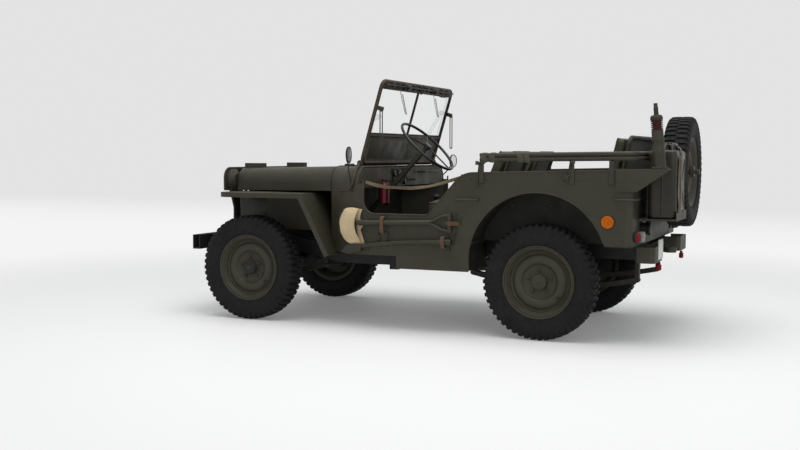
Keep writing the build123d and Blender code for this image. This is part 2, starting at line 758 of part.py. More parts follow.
def hood():
    """The hood's shell with two rest blocks and the eyes of its hinges."""
    shell = arch_loft(HOOD_SECTIONS) - arch_loft(HOOD_SECTIONS, SKIN, 1)
    for y in HINGE_YS:
        width = (y - HINGE_HALF, y + HINGE_HALF)
        shell += slab((HOOD_HINGE_X, HOOD_HINGE_X + 60), width, (COWL_FRONT_Z - SKIN / 2, HOOD_HINGE_Z - 4))
        axis = [(HOOD_HINGE_X, edge, HOOD_HINGE_Z) for edge in width]
        shell += rod(*axis, HINGE_R)
        shell -= rod(*axis, HOOD_PIN_R + FIT)
        shell += slab((1257, 1402), (y - 28, y + 28), (HOOD_FRONT_Z - SKIN, HOOD_FRONT_Z + 36))
    return shell - slab((0, COWL_FRONT_X + SEAM), (-700, 700), (0, COWL_FRONT_Z))


def cowl_hinges():
    """The hood's hinge pins on their lugs, and the ears that hold the windscreen's pivots."""
    shapes = []
    for y in HINGE_YS:
        low, high = y - HINGE_HALF - 20, y + HINGE_HALF + 20
        bracket = rod((HOOD_HINGE_X, low, HOOD_HINGE_Z), (HOOD_HINGE_X, high, HOOD_HINGE_Z), HOOD_PIN_R)
        for lug in ((low, low + 19), (high - 19, high)):
            bracket += rod((HOOD_HINGE_X, lug[0], HOOD_HINGE_Z), (HOOD_HINGE_X, lug[1], HOOD_HINGE_Z), HINGE_R)
            bracket += slab((COWL_FRONT_X - 40, HOOD_HINGE_X), lug, (COWL_FRONT_Z + 1, HOOD_HINGE_Z))
        shapes.append(bracket)
    x, z = SCREEN_PIVOT_X, SCREEN_PIVOT_Z
    y = (SCREEN_HALF + 6, SCREEN_HALF + 18)
    ear = rod((x, y[0], z), (x, y[1], z), 16) + slab((x - 16, x + 16), y, (COWL_REAR_Z - 1, z))
    ear += rod((x, SCREEN_HALF - SCREEN_TUBE / 2, z), (x, y[1], z), SCREEN_PIN_R)
    return group(shapes + both_sides(ear))


# Windscreen: drawn in its leaning plane, across, up from the pivot and forward of the middle.
LEAN = radians(SCREEN_LEAN)
SCREEN = Plane(origin=(SCREEN_PIVOT_X, 0, SCREEN_PIVOT_Z), x_dir=(0, 1, 0), z_dir=(cos(LEAN), 0, sin(LEAN)))
SCREEN_FACE = SCREEN_THICK / 2
PANE_EDGE = SCREEN_HALF - SCREEN_TUBE
PANE_TOP = SCREEN_TOP - SCREEN_HEADER


def windscreen_frame():
    depth = (-SCREEN_FACE, SCREEN_FACE)
    half, tube = SCREEN_HALF, SCREEN_TUBE
    corners = [(-half, SCREEN_FOOT), (half, SCREEN_FOOT), (half, SCREEN_TOP), (-half, SCREEN_TOP)]
    ring = plan_cut(corners, depth, [SCREEN_FOOT_BEND, SCREEN_FOOT_BEND, SCREEN_BEND, SCREEN_BEND])
    ring -= slab((-PANE_EDGE, PANE_EDGE), (SCREEN_FOOT + tube, PANE_TOP), depth)
    ring += slab((-PANE_EDGE, PANE_EDGE), (SCREEN_FOOT + tube, GLASS_BOTTOM), (-SKIN / 2, SKIN / 2))
    ring += slab((-PANE_EDGE, PANE_EDGE), (GLASS_BOTTOM - tube, GLASS_BOTTOM), depth)
    ring += slab((-SCREEN_POST / 2, SCREEN_POST / 2), (GLASS_BOTTOM, PANE_TOP), depth)
    for side in (1, -1):
        pivot = [(side * reach, 0, 0) for reach in (PANE_EDGE, half)]
        ring -= rod(*pivot, SCREEN_PIN_R + FIT)
    return SCREEN * ring


def windscreen_glass():
    across = (SCREEN_POST / 2 + FIT, PANE_EDGE - FIT)
    pane = SCREEN * slab(across, (GLASS_BOTTOM + FIT, PANE_TOP - FIT), (-GLASS_THICK / 2, GLASS_THICK / 2))
    return group(both_sides(pane))


WIPER_ACROSS = 300
WIPER_SWEEP = (-110, -190)
ARM_UP = 372
ARM_LENGTH = 190


def windscreen_fittings():
    """Wipers on the front of the header, and slotted adjusting arms hanging behind the side tubes."""
    up = SCREEN_TOP - SCREEN_HEADER / 2
    ahead = SCREEN_FACE + 12
    tip = (WIPER_ACROSS + WIPER_SWEEP[0], up + WIPER_SWEEP[1], ahead)
    wiper = rod((WIPER_ACROSS, up, SCREEN_FACE), (WIPER_ACROSS, up, ahead + 7), 10)
    wiper += rod((WIPER_ACROSS, up, ahead), tip, 4)
    across = (SCREEN_HALF - 26, SCREEN_HALF - 6)
    hook = SCREEN * slab(across, (ARM_UP - 14, ARM_UP + 14), (-SCREEN_FACE - 42, -SCREEN_FACE))
    top = SCREEN.from_local_coords((0, ARM_UP, -SCREEN_FACE - 32))
    arm_y = (across[1], across[1] + 5)
    arm = slab((top.X - 11, top.X + 11), arm_y, (top.Z - ARM_LENGTH, top.Z + 12))
    arm -= slab((top.X - 5, top.X + 5), arm_y, (top.Z - ARM_LENGTH + 12, top.Z - 16))
    return group(both_sides(SCREEN * wiper) + both_sides(hook + arm))


# Steering and controls
def steering_wheel():
    plane = Plane(origin=STEERING_WHEEL, x_dir=(0, 1, 0), z_dir=-COLUMN_DIRECTION)
    wheel = Torus(STEERING_WHEEL_R, 9) + Cylinder(26, 26)
    for turn in (90, 210, 330):
        wheel += Rot(0, 0, turn) * rod((20, 0, 0), (STEERING_WHEEL_R, 0, 0), 5)
    return plane * wheel


def steering_column():
    """The column from under the steering wheel to its gear on the frame rail."""
    start = Vector(*STEERING_WHEEL)
    column = rod(start + COLUMN_DIRECTION * (13 + FIT), start + COLUMN_DIRECTION * COLUMN_LENGTH, COLUMN_R)
    end = start + COLUMN_DIRECTION * COLUMN_LENGTH
    y = (end.Y - 40, end.Y + 40)
    return column + slab((end.X - 45, end.X + 28), y, (FLOOR_Z + FIT, end.Z + 30))


LEVERS = [
    # foot x, foot y, top x, top y, top z
    (200, 10, 50, 30, 830),
    (185, -35, 90, -35, 760),
    (185, -80, 95, -80, 745),
]
PEDALS_Y = (180, 262, 398)
PEDAL_Z = FLOOR_Z + 110
PEDAL_REACH = 115
PEDAL_ROD_R = 8


def levers_and_pedals():
    shapes = []
    floor = FLOOR_Z + SKIN + FIT
    for foot_x, foot_y, top_x, top_y, top_z in LEVERS:
        boot = Pos(foot_x, foot_y, floor) * Cylinder(22, 20, align=BOTTOM)
        foot, top = Vector(foot_x, foot_y, floor + 8), Vector(top_x, top_y, top_z)
        shapes.append(boot + rod(foot, top, 7) + Plane(origin=top, z_dir=top - foot) * Sphere(19))
    pedal_x = toe_face(PEDAL_Z - PEDAL_ROD_R) - FIT
    for y in PEDALS_Y:
        plate_x = (pedal_x - PEDAL_REACH, pedal_x - PEDAL_REACH + 12)
        pedal = slab(plate_x, (y - 27, y + 27), (PEDAL_Z - 32, PEDAL_Z + 32))
        shapes.append(pedal + rod((plate_x[0] + 6, y, PEDAL_Z), (pedal_x, y, PEDAL_Z), PEDAL_ROD_R))
    return group(shapes)


# Seats
SEAT_REAR_X = SEAT_FRONT_X - SEAT_DEPTH
PAN_Z = SEAT_TOP_Z - CUSHION - FIT
PAN = 6
SEAT_EYE_R = 15
SEAT_PIN_R = 6


def floor_top(x):
    """Height of the floor's upper face under a seat leg."""
    return max(rail_foot(x - SEAT_TUBE_R), rail_foot(x + SEAT_TUBE_R)) + RAIL_HEIGHT + SKIN


SEAT_HINGE_X = SEAT_FRONT_X - 20
SEAT_HINGE_Z = floor_top(SEAT_HINGE_X) + SEAT_EYE_R + 7


def leaning_pad(foot, head, thickness, y):
    """A flat pad from foot to head, given as (x, z), thick towards the front."""
    along = (Vector(*head) - Vector(*foot)).normalized()
    ahead = Vector(along.Y, -along.X) * thickness
    corners = [Vector(*foot), Vector(*head), Vector(*head) + ahead, Vector(*foot) + ahead]
    return side_cut([(corner.X, corner.Y) for corner in corners], y)


def back_line(rear_x, pan_z, head):
    """Foot and head of a seat back, as (x, z)."""
    return (rear_x - 12, pan_z + 30), head


def seat_frame(front_x, rear_x, pan_z, head, y, leg_foot):
    """A pan on four legs with a tubular back; leg_foot gives a leg's lower end at x."""
    frame_y = (y[0] + 14, y[1] - 14)
    seat = slab((rear_x, front_x), y, (pan_z - PAN, pan_z))
    foot, head = back_line(rear_x, pan_z, head)
    behind = SEAT_TUBE_R + FIT
    along = (Vector(*head) - Vector(*foot)).normalized()
    low = Vector(*foot) + Vector(-along.Y, along.X) * behind
    high = Vector(*head) + Vector(-along.Y, along.X) * behind
    for side in frame_y:
        for x in (front_x - 20, rear_x + 20):
            seat += rod((x, side, leg_foot(x)), (x, side, pan_z - 1), SEAT_TUBE_R)
        seat += slab((low.X - 4, rear_x + 1), (side - 10, side + 10), (pan_z - PAN, pan_z))
    upright = [(low.X, pan_z - PAN / 2), (low.X, low.Y), (high.X, high.Y)]
    hoop = [(x, frame_y[0], z) for x, z in upright] + [(x, frame_y[1], z) for x, z in reversed(upright)]
    return seat + pipe(hoop, SEAT_BEND, SEAT_TUBE_R)


def seat_pads(front_x, rear_x, pan_z, head, y):
    """A seat cushion and a back pad."""
    foot, head = back_line(rear_x, pan_z, head)
    back = leaning_pad((foot[0], foot[1] + CUSHION), head, BACK_PAD, y)
    return [slab((rear_x + 2, front_x), y, (pan_z + FIT, pan_z + FIT + CUSHION - 1)), back]


FRONT_SEAT_Y = (SEAT_Y - SEAT_WIDTH / 2, SEAT_Y + SEAT_WIDTH / 2)
FRONT_SEAT = (SEAT_FRONT_X, SEAT_REAR_X, PAN_Z, (BACK_TOP_X, BACK_TOP_Z))
REAR_SEAT_Y = (-REAR_SEAT_HALF, REAR_SEAT_HALF)
REAR_SEAT_REAR_X = REAR_SEAT_FRONT_X - REAR_SEAT_DEPTH
REAR_PAN_Z = REAR_SEAT_TOP_Z - CUSHION - FIT
REAR_SEAT = (REAR_SEAT_FRONT_X, REAR_SEAT_REAR_X, REAR_PAN_Z, (REAR_BACK_X - 60, REAR_BACK_TOP_Z))


def foot_on_floor(x):
    return floor_top(x) + FIT


def passenger_leg_foot(x):
    return SEAT_HINGE_Z if x > (SEAT_FRONT_X + SEAT_REAR_X) / 2 else foot_on_floor(x)


def seat_hinge_posts():
    """Ears on the floor, each side of the passenger seat's front legs, with the pin between them."""
    shapes = []
    for side in (FRONT_SEAT_Y[0] + 14, FRONT_SEAT_Y[1] - 14):
        low, high = -side - SEAT_TUBE_R - 9, -side + SEAT_TUBE_R + 9
        post = rod((SEAT_HINGE_X, low, SEAT_HINGE_Z), (SEAT_HINGE_X, high, SEAT_HINGE_Z), SEAT_PIN_R)
        for y in ((low, low + 8), (high - 8, high)):
            foot = floor_top(SEAT_HINGE_X)
            post += slab((SEAT_HINGE_X - 12, SEAT_HINGE_X + 12), y, (foot, SEAT_HINGE_Z + 12))
        shapes.append(post)
    return shapes


def seat_frames():
    driver = seat_frame(*FRONT_SEAT, FRONT_SEAT_Y, foot_on_floor)
    bench = seat_frame(*REAR_SEAT, REAR_SEAT_Y, foot_on_floor)
    return group([driver, bench] + seat_hinge_posts())


def seat_cushions():
    return group(seat_pads(*FRONT_SEAT, FRONT_SEAT_Y) + seat_pads(*REAR_SEAT, REAR_SEAT_Y))


def passenger_seat_frame():
    seat = seat_frame(*FRONT_SEAT, FRONT_SEAT_Y, passenger_leg_foot)
    for side in (FRONT_SEAT_Y[0] + 14, FRONT_SEAT_Y[1] - 14):
        eye = [(SEAT_HINGE_X, side + end * SEAT_TUBE_R, SEAT_HINGE_Z) for end in (-1, 1)]
        seat += rod(*eye, SEAT_EYE_R)
        seat -= rod(*eye, SEAT_PIN_R + FIT)
    return other_side(seat)


def passenger_seat_cushions():
    return group([other_side(pad) for pad in seat_pads(*FRONT_SEAT, FRONT_SEAT_Y)])


# Stowage and fittings
BOW_RISE = 12
BOW_STACK = 2 * BOW_R + FIT


def bow_z(x):
    """Height of the lower bow's centre line."""
    return BOW_Z + BOW_RISE * (BOW_FRONT_X - x) / (BOW_FRONT_X - BOW_REAR_X)


def top_bows():
    """Two hoops of the canvas top, folded back flat around the tub."""
    bows = []
    for lift in (0, BOW_STACK):
        low, high = BOW_Z + lift, BOW_Z + BOW_RISE + lift
        ends = [(BOW_FRONT_X, BOW_Y, low), (BOW_REAR_X, BOW_Y, high)]
        ends += [(x, -y, z) for x, y, z in reversed(ends)]
        bows.append(pipe(ends, BOW_BEND, BOW_R))
    return group(bows)


SPARE = Pos(SPARE_X, SPARE_Y, SPARE_Z) * Rot(0, 0, 180)
WHEEL_FACE_IN = 22
WHEEL_FACE_OUT = 52


def rear_carriers():
    """The spare wheel's post, the fuel can's rack and the antenna's shelf."""
    y, z = SPARE_Y, SPARE_Z
    seat_x = SPARE_X - WHEEL_FACE_IN + FIT
    post = slab((BODY_REAR_X - 12, BODY_REAR_X), (y - 120, y + 120), (TUB_TOP_REAR_Z - 200, TUB_TOP_REAR_Z - 4))
    post += rod((BODY_REAR_X, y, z), (seat_x, y, z), 44)
    post += rod((seat_x, y, z), (SPARE_X - 110, y, z), 16)
    post += rod((SPARE_X - WHEEL_FACE_OUT - FIT, y, z), (SPARE_X - WHEEL_FACE_OUT - 26, y, z), 36)
    can_y = (CAN_Y - CAN_WIDTH / 2, CAN_Y + CAN_WIDTH / 2)
    tray_x = (CAN_FRONT_X - CAN_DEPTH - 6, BODY_REAR_X)
    rack = slab(tray_x, (can_y[0] - 5, can_y[1] + 5), (CAN_Z - 12, CAN_Z - FIT))
    rack += slab((tray_x[0], tray_x[0] + 5), (can_y[0] - 5, can_y[1] + 5), (CAN_Z - 12, CAN_Z + 40))
    back_x = (CAN_FRONT_X + FIT, CAN_FRONT_X + 7)
    rack += slab(back_x, (can_y[0] + 30, can_y[1] - 30), (CAN_Z - 12, CAN_Z + 250))
    for bar_y in (can_y[0] + 60, can_y[1] - 60):
        rack += slab((back_x[1] - 1, BODY_REAR_X), (bar_y - 12, bar_y + 12), (CAN_Z + 200, CAN_Z + 212))
    x, base_y, base_z = ANTENNA
    sheet = 5
    gusset = [
        (SIDE_REAR_X + 40, base_z - FIT),
        (x - 55, base_z - FIT),
        (x - 55, base_z - 14),
        (BODY_REAR_X - 26, base_z - 132),
        (SIDE_REAR_X + 40, base_z - 132),
    ]
    bracket = side_cut(gusset, (BODY_Y, BODY_Y + sheet))
    bracket += slab((x - 55, x + 55), (base_y - 50, BODY_Y + sheet), (base_z - FIT - sheet, base_z - FIT))
    return group([post, rack, bracket])


def fuel_can():
    """A flat-sided fuel can with three carrying bars and a capped spout."""
    y = (CAN_Y - CAN_WIDTH / 2, CAN_Y + CAN_WIDTH / 2)
    x = (CAN_FRONT_X - CAN_DEPTH, CAN_FRONT_X)
    body_top = CAN_Z + CAN_HEIGHT - 45
    can = fillet(slab(x, y, (CAN_Z, body_top)).edges().filter_by(Axis.Z), 28)
    middle = (x[0] + x[1]) / 2
    for bar_x in (middle - 42, middle, middle + 42):
        ends = [(bar_x, CAN_Y - 90, body_top - 5), (bar_x, CAN_Y - 70, body_top + 36)]
        ends += [(bar_x, 2 * CAN_Y - bar_y, z) for bar_x, bar_y, z in reversed(ends)]
        can += pipe(ends, 14, 9)
    return can + rod((middle, y[0] + 45, body_top - 5), (middle, y[0] + 30, body_top + 38), 30)


ANTENNA_RINGS = [
    # length, radius at the foot, radius at the head
    (218, ANTENNA_R, ANTENNA_R),
    (14, ANTENNA_R - 8, ANTENNA_R - 8),
    (10, ANTENNA_R, ANTENNA_R),
    (10, ANTENNA_R - 8, ANTENNA_R - 8),
    (10, ANTENNA_R, ANTENNA_R),
    (12, ANTENNA_R - 8, ANTENNA_R - 8),
    (28, ANTENNA_R, ANTENNA_R - 4),
    (69, 13.5, 13.5),
]
MAST_BORE_R = 6
MAST_BORE_DEPTH = 45
ANTENNA_FLANGE = 10


def antenna_base():
    """A leaning mast base: tube, ribbed spring cover, cap and a socket for the mast."""
    outline, along = [(0, 0)], 0
    for length, foot_r, head_r in ANTENNA_RINGS:
        outline += [(along, foot_r), (along + length, head_r)]
        along += length
    body = spin(outline + [(along, 0)])
    body -= rod((along - MAST_BORE_DEPTH, 0, 0), (along, 0, 0), MAST_BORE_R)
    foot = Pos(*ANTENNA) * Cylinder(ANTENNA_R + 10, ANTENNA_FLANGE, align=BOTTOM)
    return foot + Pos(ANTENNA[0], ANTENNA[1], ANTENNA[2] + 5) * Rot(0, ANTENNA_LEAN - 90, 0) * body


LAMP_Z = 644


def tail_lamps():
    """A round lamp each side, a second one beside the left, and a trailer socket."""
    shapes = both_sides(rod((BODY_REAR_X, 676, LAMP_Z), (BODY_REAR_X - 40, 676, LAMP_Z), 30))
    shapes.append(rod((BODY_REAR_X, 604, LAMP_Z), (BODY_REAR_X - 46, 604, LAMP_Z), 32))
    shapes.append(rod((BODY_REAR_X, 470, LAMP_Z + 40), (BODY_REAR_X - 60, 470, LAMP_Z + 40), 42))
    return group(shapes)


def reflectors():
    side = rod((-1300, BODY_Y, 733), (-1300, BODY_Y + 10, 733), 41)
    rear = rod((BODY_REAR_X, 540, LAMP_Z), (BODY_REAR_X - 10, 540, LAMP_Z), 22)
    return group(both_sides(side) + both_sides(rear))


def licence_plate():
    back = RAIL_REAR_X - 106
    return slab((back - 3 - FIT, back - FIT), (345, 495), (RAIL_REAR_Z + 16, RAIL_REAR_Z + 136))


HANDLE_OUT = 22
HANDLE_R = 6
TOOL_Y = 772
TOOL_R = 17
BOW_BRACKETS_X = (-530, -1087, -1320)
CLAMPS = [
    # x, low z, high z
    (-290, 570, 720),
    (120, 535, 705),
]


def grab_handle(points):
    """A bent bar whose two ends meet the body."""
    return pipe(points, 12, HANDLE_R)


def body_fittings():
    """Grab handles, brackets under the folded bows, and clamps behind the tools."""
    out = BODY_Y + HANDLE_OUT
    side = grab_handle([(-360, BODY_Y, 848), (-360, out, 848), (-508, out, 848), (-508, BODY_Y, 848)])
    corner_x = BODY_REAR_X - HANDLE_OUT
    corner = [(-1340, BODY_Y, 865), (-1340, out, 865), (corner_x, out, 865)]
    corner += [(corner_x, 640, 865), (BODY_REAR_X, 640, 865)]
    shapes = both_sides(side) + both_sides(grab_handle(corner))
    for x in BOW_BRACKETS_X:
        rest = bow_z(x) - BOW_R - FIT
        bracket = slab((x - 14, x + 14), (BODY_Y, BODY_Y + 8), (950, rest))
        bracket += slab((x - 14, x + 14), (BOW_Y - BOW_R, BODY_Y + 8), (rest - 12, rest - FIT))
        shapes += both_sides(bracket)
    for x, low, high in CLAMPS:
        shapes.append(slab((x - 22, x + 22), (BODY_Y, TOOL_Y - TOOL_R - FIT), (low, high)))
    return group(shapes)


def shovel():
    """A round-bladed shovel stowed blade forward, with a D-shaped grip."""
    y = (TOOL_Y - 6, TOOL_Y + 6)
    outline = [(285, 566), (320, 781), (451, 760), (430, 562)]
    blade = side_cut(outline, y, [30, 40, 70, 70])
    tool = blade + rod((340, TOOL_Y, 690), (-205, TOOL_Y, 700), TOOL_R)
    for end_z in (640, 736):
        tool += rod((-200, TOOL_Y, 700), (-330, TOOL_Y, end_z), 10)
    return tool + rod((-330, TOOL_Y, 626), (-330, TOOL_Y, 748), 14)


def axe():
    """An axe stowed head forward."""
    handle = rod((300, TOOL_Y, 535), (-342, TOOL_Y, 592), TOOL_R)
    head = [(275, 548), (330, 552), (410, 500), (345, 484), (275, 508)]
    return handle + side_cut(head, (TOOL_Y - 14, TOOL_Y + 14))


def safety_strap():
    """A webbing strap hung across the driver's doorway."""
    route = [(285, 938), (-24, 894), (-400, 972)]
    width = 28
    edge = [(x, z + width) for x, z in reversed(route)]
    return side_cut(route + edge, (INSIDE_Y - FIT - 5, INSIDE_Y - FIT))


def mirror_arm():
    """A round driving mirror on a bent bar from the cowl's side."""
    foot = (360, 719, 895)
    bar = pipe([foot, (384, 716, 1010), (395, 700, 1118)], 60, 5)
    return bar + rod((386, 700, 1118), (404, 700, 1118), 55)


def fire_extinguisher():
    x, y, r = 255, 452, 34
    bottle = rod((x, y, 800), (x, y, 905), r) + Pos(x, y, 905) * Sphere(r)
    bottle += rod((x, y, 930), (x, y, 962), 12)
    return bottle + slab((x + r - 6, COWL_REAR_X - FIT), (y - 15, y + 15), (DASH_BOTTOM_Z + 2, DASH_BOTTOM_Z + 20))


def road_wheel():
    """A disc wheel with its brake drum."""
    drum_in, drum_out = BACKING_OUT + 5, WHEEL_FACE_IN + 1
    bore = SPINDLE_R + FIT
    drum = [(drum_in, bore), (drum_in, BRAKE_DRUM_R), (drum_out, BRAKE_DRUM_R), (drum_out, bore)]
    return wheel_shape() + spin(drum)


CORNERS = [
    # name, axle x, side
    ("front_left", FRONT_AXLE_X, 1),
    ("front_right", FRONT_AXLE_X, -1),
    ("rear_left", REAR_AXLE_X, 1),
    ("rear_right", REAR_AXLE_X, -1),
]


def nodes():
    """Every piece of the car by its name."""
    left_fender = fender_left()
    left_knuckle = knuckle_left()
    pieces = {
        "frame": frame(),
        "front_bumper": front_bumper(),
        "rear_bumperettes": rear_bumperettes(),
        "front_axle": front_axle(),
        "rear_axle": rear_axle(),
        "leaf_springs": leaf_springs(),
        "engine": engine(),
        "drivetrain": drivetrain(),
        "exhaust": exhaust(),
        "body_side_left": body_side(skirt=True),
        "body_side_right": other_side(body_side()),
        "rear_panel": rear_panel(),
        "wheel_boxes": wheel_boxes(),
        "body_floor": body_floor(),
        "cowl": cowl(),
        "dash_panel": dash_panel(),
        "fender_left": left_fender,
        "fender_right": other_side(left_fender),
        "grille": grille(),
        "radiator": radiator(),
        "headlamps": headlamps(),
        "hood": hood(),
        "cowl_hinges": cowl_hinges(),
        "windscreen_frame": windscreen_frame(),
        "windscreen_glass": windscreen_glass(),
        "windscreen_fittings": windscreen_fittings(),
        "steering_wheel": steering_wheel(),
        "steering_column": steering_column(),
        "levers_and_pedals": levers_and_pedals(),
        "seat_frames": seat_frames(),
        "seat_cushions": seat_cushions(),
        "passenger_seat_frame": passenger_seat_frame(),
        "passenger_seat_cushions": passenger_seat_cushions(),
        "top_bows": top_bows(),
        "spare_tyre": SPARE * tyre_shape(),
        "spare_wheel": SPARE * wheel_shape(),
        "rear_carriers": rear_carriers(),
        "fuel_can": fuel_can(),
        "antenna_base": antenna_base(),
        "tail_lamps": tail_lamps(),
        "reflectors": reflectors(),
        "licence_plate": licence_plate(),
        "body_fittings": body_fittings(),
        "shovel": shovel(),
        "axe": axe(),
        "safety_strap": safety_strap(),
        "driving_mirror": mirror_arm(),
        "fire_extinguisher": fire_extinguisher(),
        "knuckle_left": left_knuckle,
        "knuckle_right": other_side(left_knuckle),
    }
    for corner, x, side in CORNERS:
        pieces["tyre_" + corner] = on_axle(tyre_shape(), x, side)
        pieces["wheel_" + corner] = on_axle(road_wheel(), x, side)
    return pieces


os.makedirs("parts", exist_ok=True)
for name, shape in nodes().items():
    export_step(shape, "parts/" + name + ".step")
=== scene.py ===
"""Looks of an open army 4x4 car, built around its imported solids.

Metres, in the frame of the solids: X forward, Y to the driver's left, Z up from the ground.
"""

from math import atan2, cos, pi, radians, sin, tan

import bmesh
import bpy
import numpy as np
from mathutils import Matrix, Vector
from mathutils.bvhtree import BVHTree


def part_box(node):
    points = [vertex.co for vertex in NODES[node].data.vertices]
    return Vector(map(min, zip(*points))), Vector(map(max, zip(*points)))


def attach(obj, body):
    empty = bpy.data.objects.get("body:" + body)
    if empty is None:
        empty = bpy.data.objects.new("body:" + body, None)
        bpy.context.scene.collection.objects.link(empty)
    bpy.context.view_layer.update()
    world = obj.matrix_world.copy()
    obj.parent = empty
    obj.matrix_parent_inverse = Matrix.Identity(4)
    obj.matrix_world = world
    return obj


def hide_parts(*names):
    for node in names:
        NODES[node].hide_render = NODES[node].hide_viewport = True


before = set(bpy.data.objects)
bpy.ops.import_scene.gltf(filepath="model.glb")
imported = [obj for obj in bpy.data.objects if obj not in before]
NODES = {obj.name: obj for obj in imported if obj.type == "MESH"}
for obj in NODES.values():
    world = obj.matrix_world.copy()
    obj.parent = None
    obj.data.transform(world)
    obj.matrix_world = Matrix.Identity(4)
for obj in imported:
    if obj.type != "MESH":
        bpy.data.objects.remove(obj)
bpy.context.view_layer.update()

# Camera, solved from the photograph
CAMERA_AT = Vector((-2.6562, 6.8561, 1.1262))
CAMERA_YAW = radians(23.58)
CAMERA_PITCH = radians(-3.831)
CAMERA_ROLL = radians(0.132)
CAMERA_LENS = 47.87
SENSOR = 36
FLOOR_TONE = (0.86, 0.86, 0.85, 1)
SKY_TONE = (0.96, 0.98, 1, 1)
SKY_LIGHT = 0.5
SKY_SEEN = 0.86
LIGHTS = [
    # name, place, aim, size, power
    ("top_light", (-0.6, 1.2, 6.5), (0, 0, 0), 6, 340),
    ("side_light", (-6, 7, 3.5), (0, 0, 0.6), 4, 90),
]
# The floor's own glow: from where to where it comes in round the car, and its least share, a painted glow
# that lightens the car's shadow on the floor where it is seen
GLOW_NEAR = 2.2
GLOW_FAR = 6.5
SHADOW_LIFT_GLOW = 0.145
# The wall's glow: from where to where the floor's turns into it
WALL_NEAR = -6.0
WALL_FAR = -17.0
FLOOR_GLOW = 0.9
WALL_GLOW = 0.77

# Places that the looks share with the solids
FRONT_AXLE_X = 1.162
REAR_AXLE_X = -0.870
WHEEL_Y = 0.6225
AXLE_Z = 0.354
BODY_Y = 0.749
BODY_REAR_X = -1.441
SPARE = Vector((-1.570, -0.195, 1.015))


# Stage
def look_at_car():
    """Stands the camera where the photograph was taken."""
    level = cos(CAMERA_PITCH)
    forward = Vector((sin(CAMERA_YAW) * level, -cos(CAMERA_YAW) * level, sin(CAMERA_PITCH)))
    right = forward.cross(Vector((0, 0, 1))).normalized()
    up = right.cross(forward)
    turned = Matrix((right, up, -forward)).transposed().to_4x4()
    data = bpy.data.cameras.new("camera")
    data.lens = CAMERA_LENS
    data.sensor_width = SENSOR
    camera = bpy.data.objects.new("camera", data)
    camera.matrix_world = Matrix.Translation(CAMERA_AT) @ turned @ Matrix.Rotation(CAMERA_ROLL, 4, "Z")
    bpy.context.scene.collection.objects.link(camera)
    bpy.context.scene.camera = camera
    bpy.context.scene.view_settings.view_transform = "Standard"


def soft_light(name, place, aim, size, power):
    """A round lamp that points at a place."""
    data = bpy.data.lights.new(name, "AREA")
    data.shape = "DISK"
    data.size = size
    data.energy = power
    lamp = bpy.data.objects.new(name, data)
    lamp.location = place
    lamp.rotation_mode = "QUATERNION"
    lamp.rotation_quaternion = (Vector(aim) - Vector(place)).to_track_quat("-Z", "Y")
    bpy.context.scene.collection.objects.link(lamp)


def background_rays(tree):
    """One for rays that show the background: the camera's, in reflections and through glass."""
    rays = tree.nodes.new("ShaderNodeLightPath")
    seen = rays.outputs["Is Camera Ray"]
    for kind in ("Is Glossy Ray", "Is Transmission Ray"):
        either = tree.nodes.new("ShaderNodeMath")
        either.operation = "MAXIMUM"
        tree.links.new(seen, either.inputs[0])
        tree.links.new(rays.outputs[kind], either.inputs[1])
        seen = either.outputs[0]
    return seen


def studio():
    """A pale floor that curves up into a wall, an even white sky and two soft lamps."""
    world = bpy.data.worlds.new("sky")
    bpy.context.scene.world = world
    world.use_nodes = True
    world.node_tree.nodes["Background"].inputs["Color"].default_value = SKY_TONE
    seen = background_rays(world.node_tree)
    strength = world.node_tree.nodes.new("ShaderNodeMath")
    strength.operation = "MULTIPLY_ADD"
    strength.inputs[1].default_value = SKY_SEEN - SKY_LIGHT
    strength.inputs[2].default_value = SKY_LIGHT
    world.node_tree.links.new(seen, strength.inputs[0])
    world.node_tree.links.new(strength.outputs[0], world.node_tree.nodes["Background"].inputs["Strength"])
    half_width, front, back, bend, top = 70, 60, -16, 6, 12
    profile = [(front, 0)]
    for step in range(13):
        turn = step / 12 * pi / 2
        profile.append((back - bend * sin(turn), bend * (1 - cos(turn))))
    profile.append((back - bend, top))
    verts = [(x, y, z) for y, z in profile for x in (-half_width, half_width)]
    faces = [(2 * i, 2 * i + 1, 2 * i + 3, 2 * i + 2) for i in range(len(profile) - 1)]
    mesh = bpy.data.meshes.new("floor")
    mesh.from_pydata(verts, [], faces)
    mesh.polygons.foreach_set("use_smooth", [True] * len(faces))
    floor = bpy.data.objects.new("floor", mesh)
    bpy.context.scene.collection.objects.link(floor)
    mesh.materials.append(pale_floor())
    for light in LIGHTS:
        soft_light(*light)


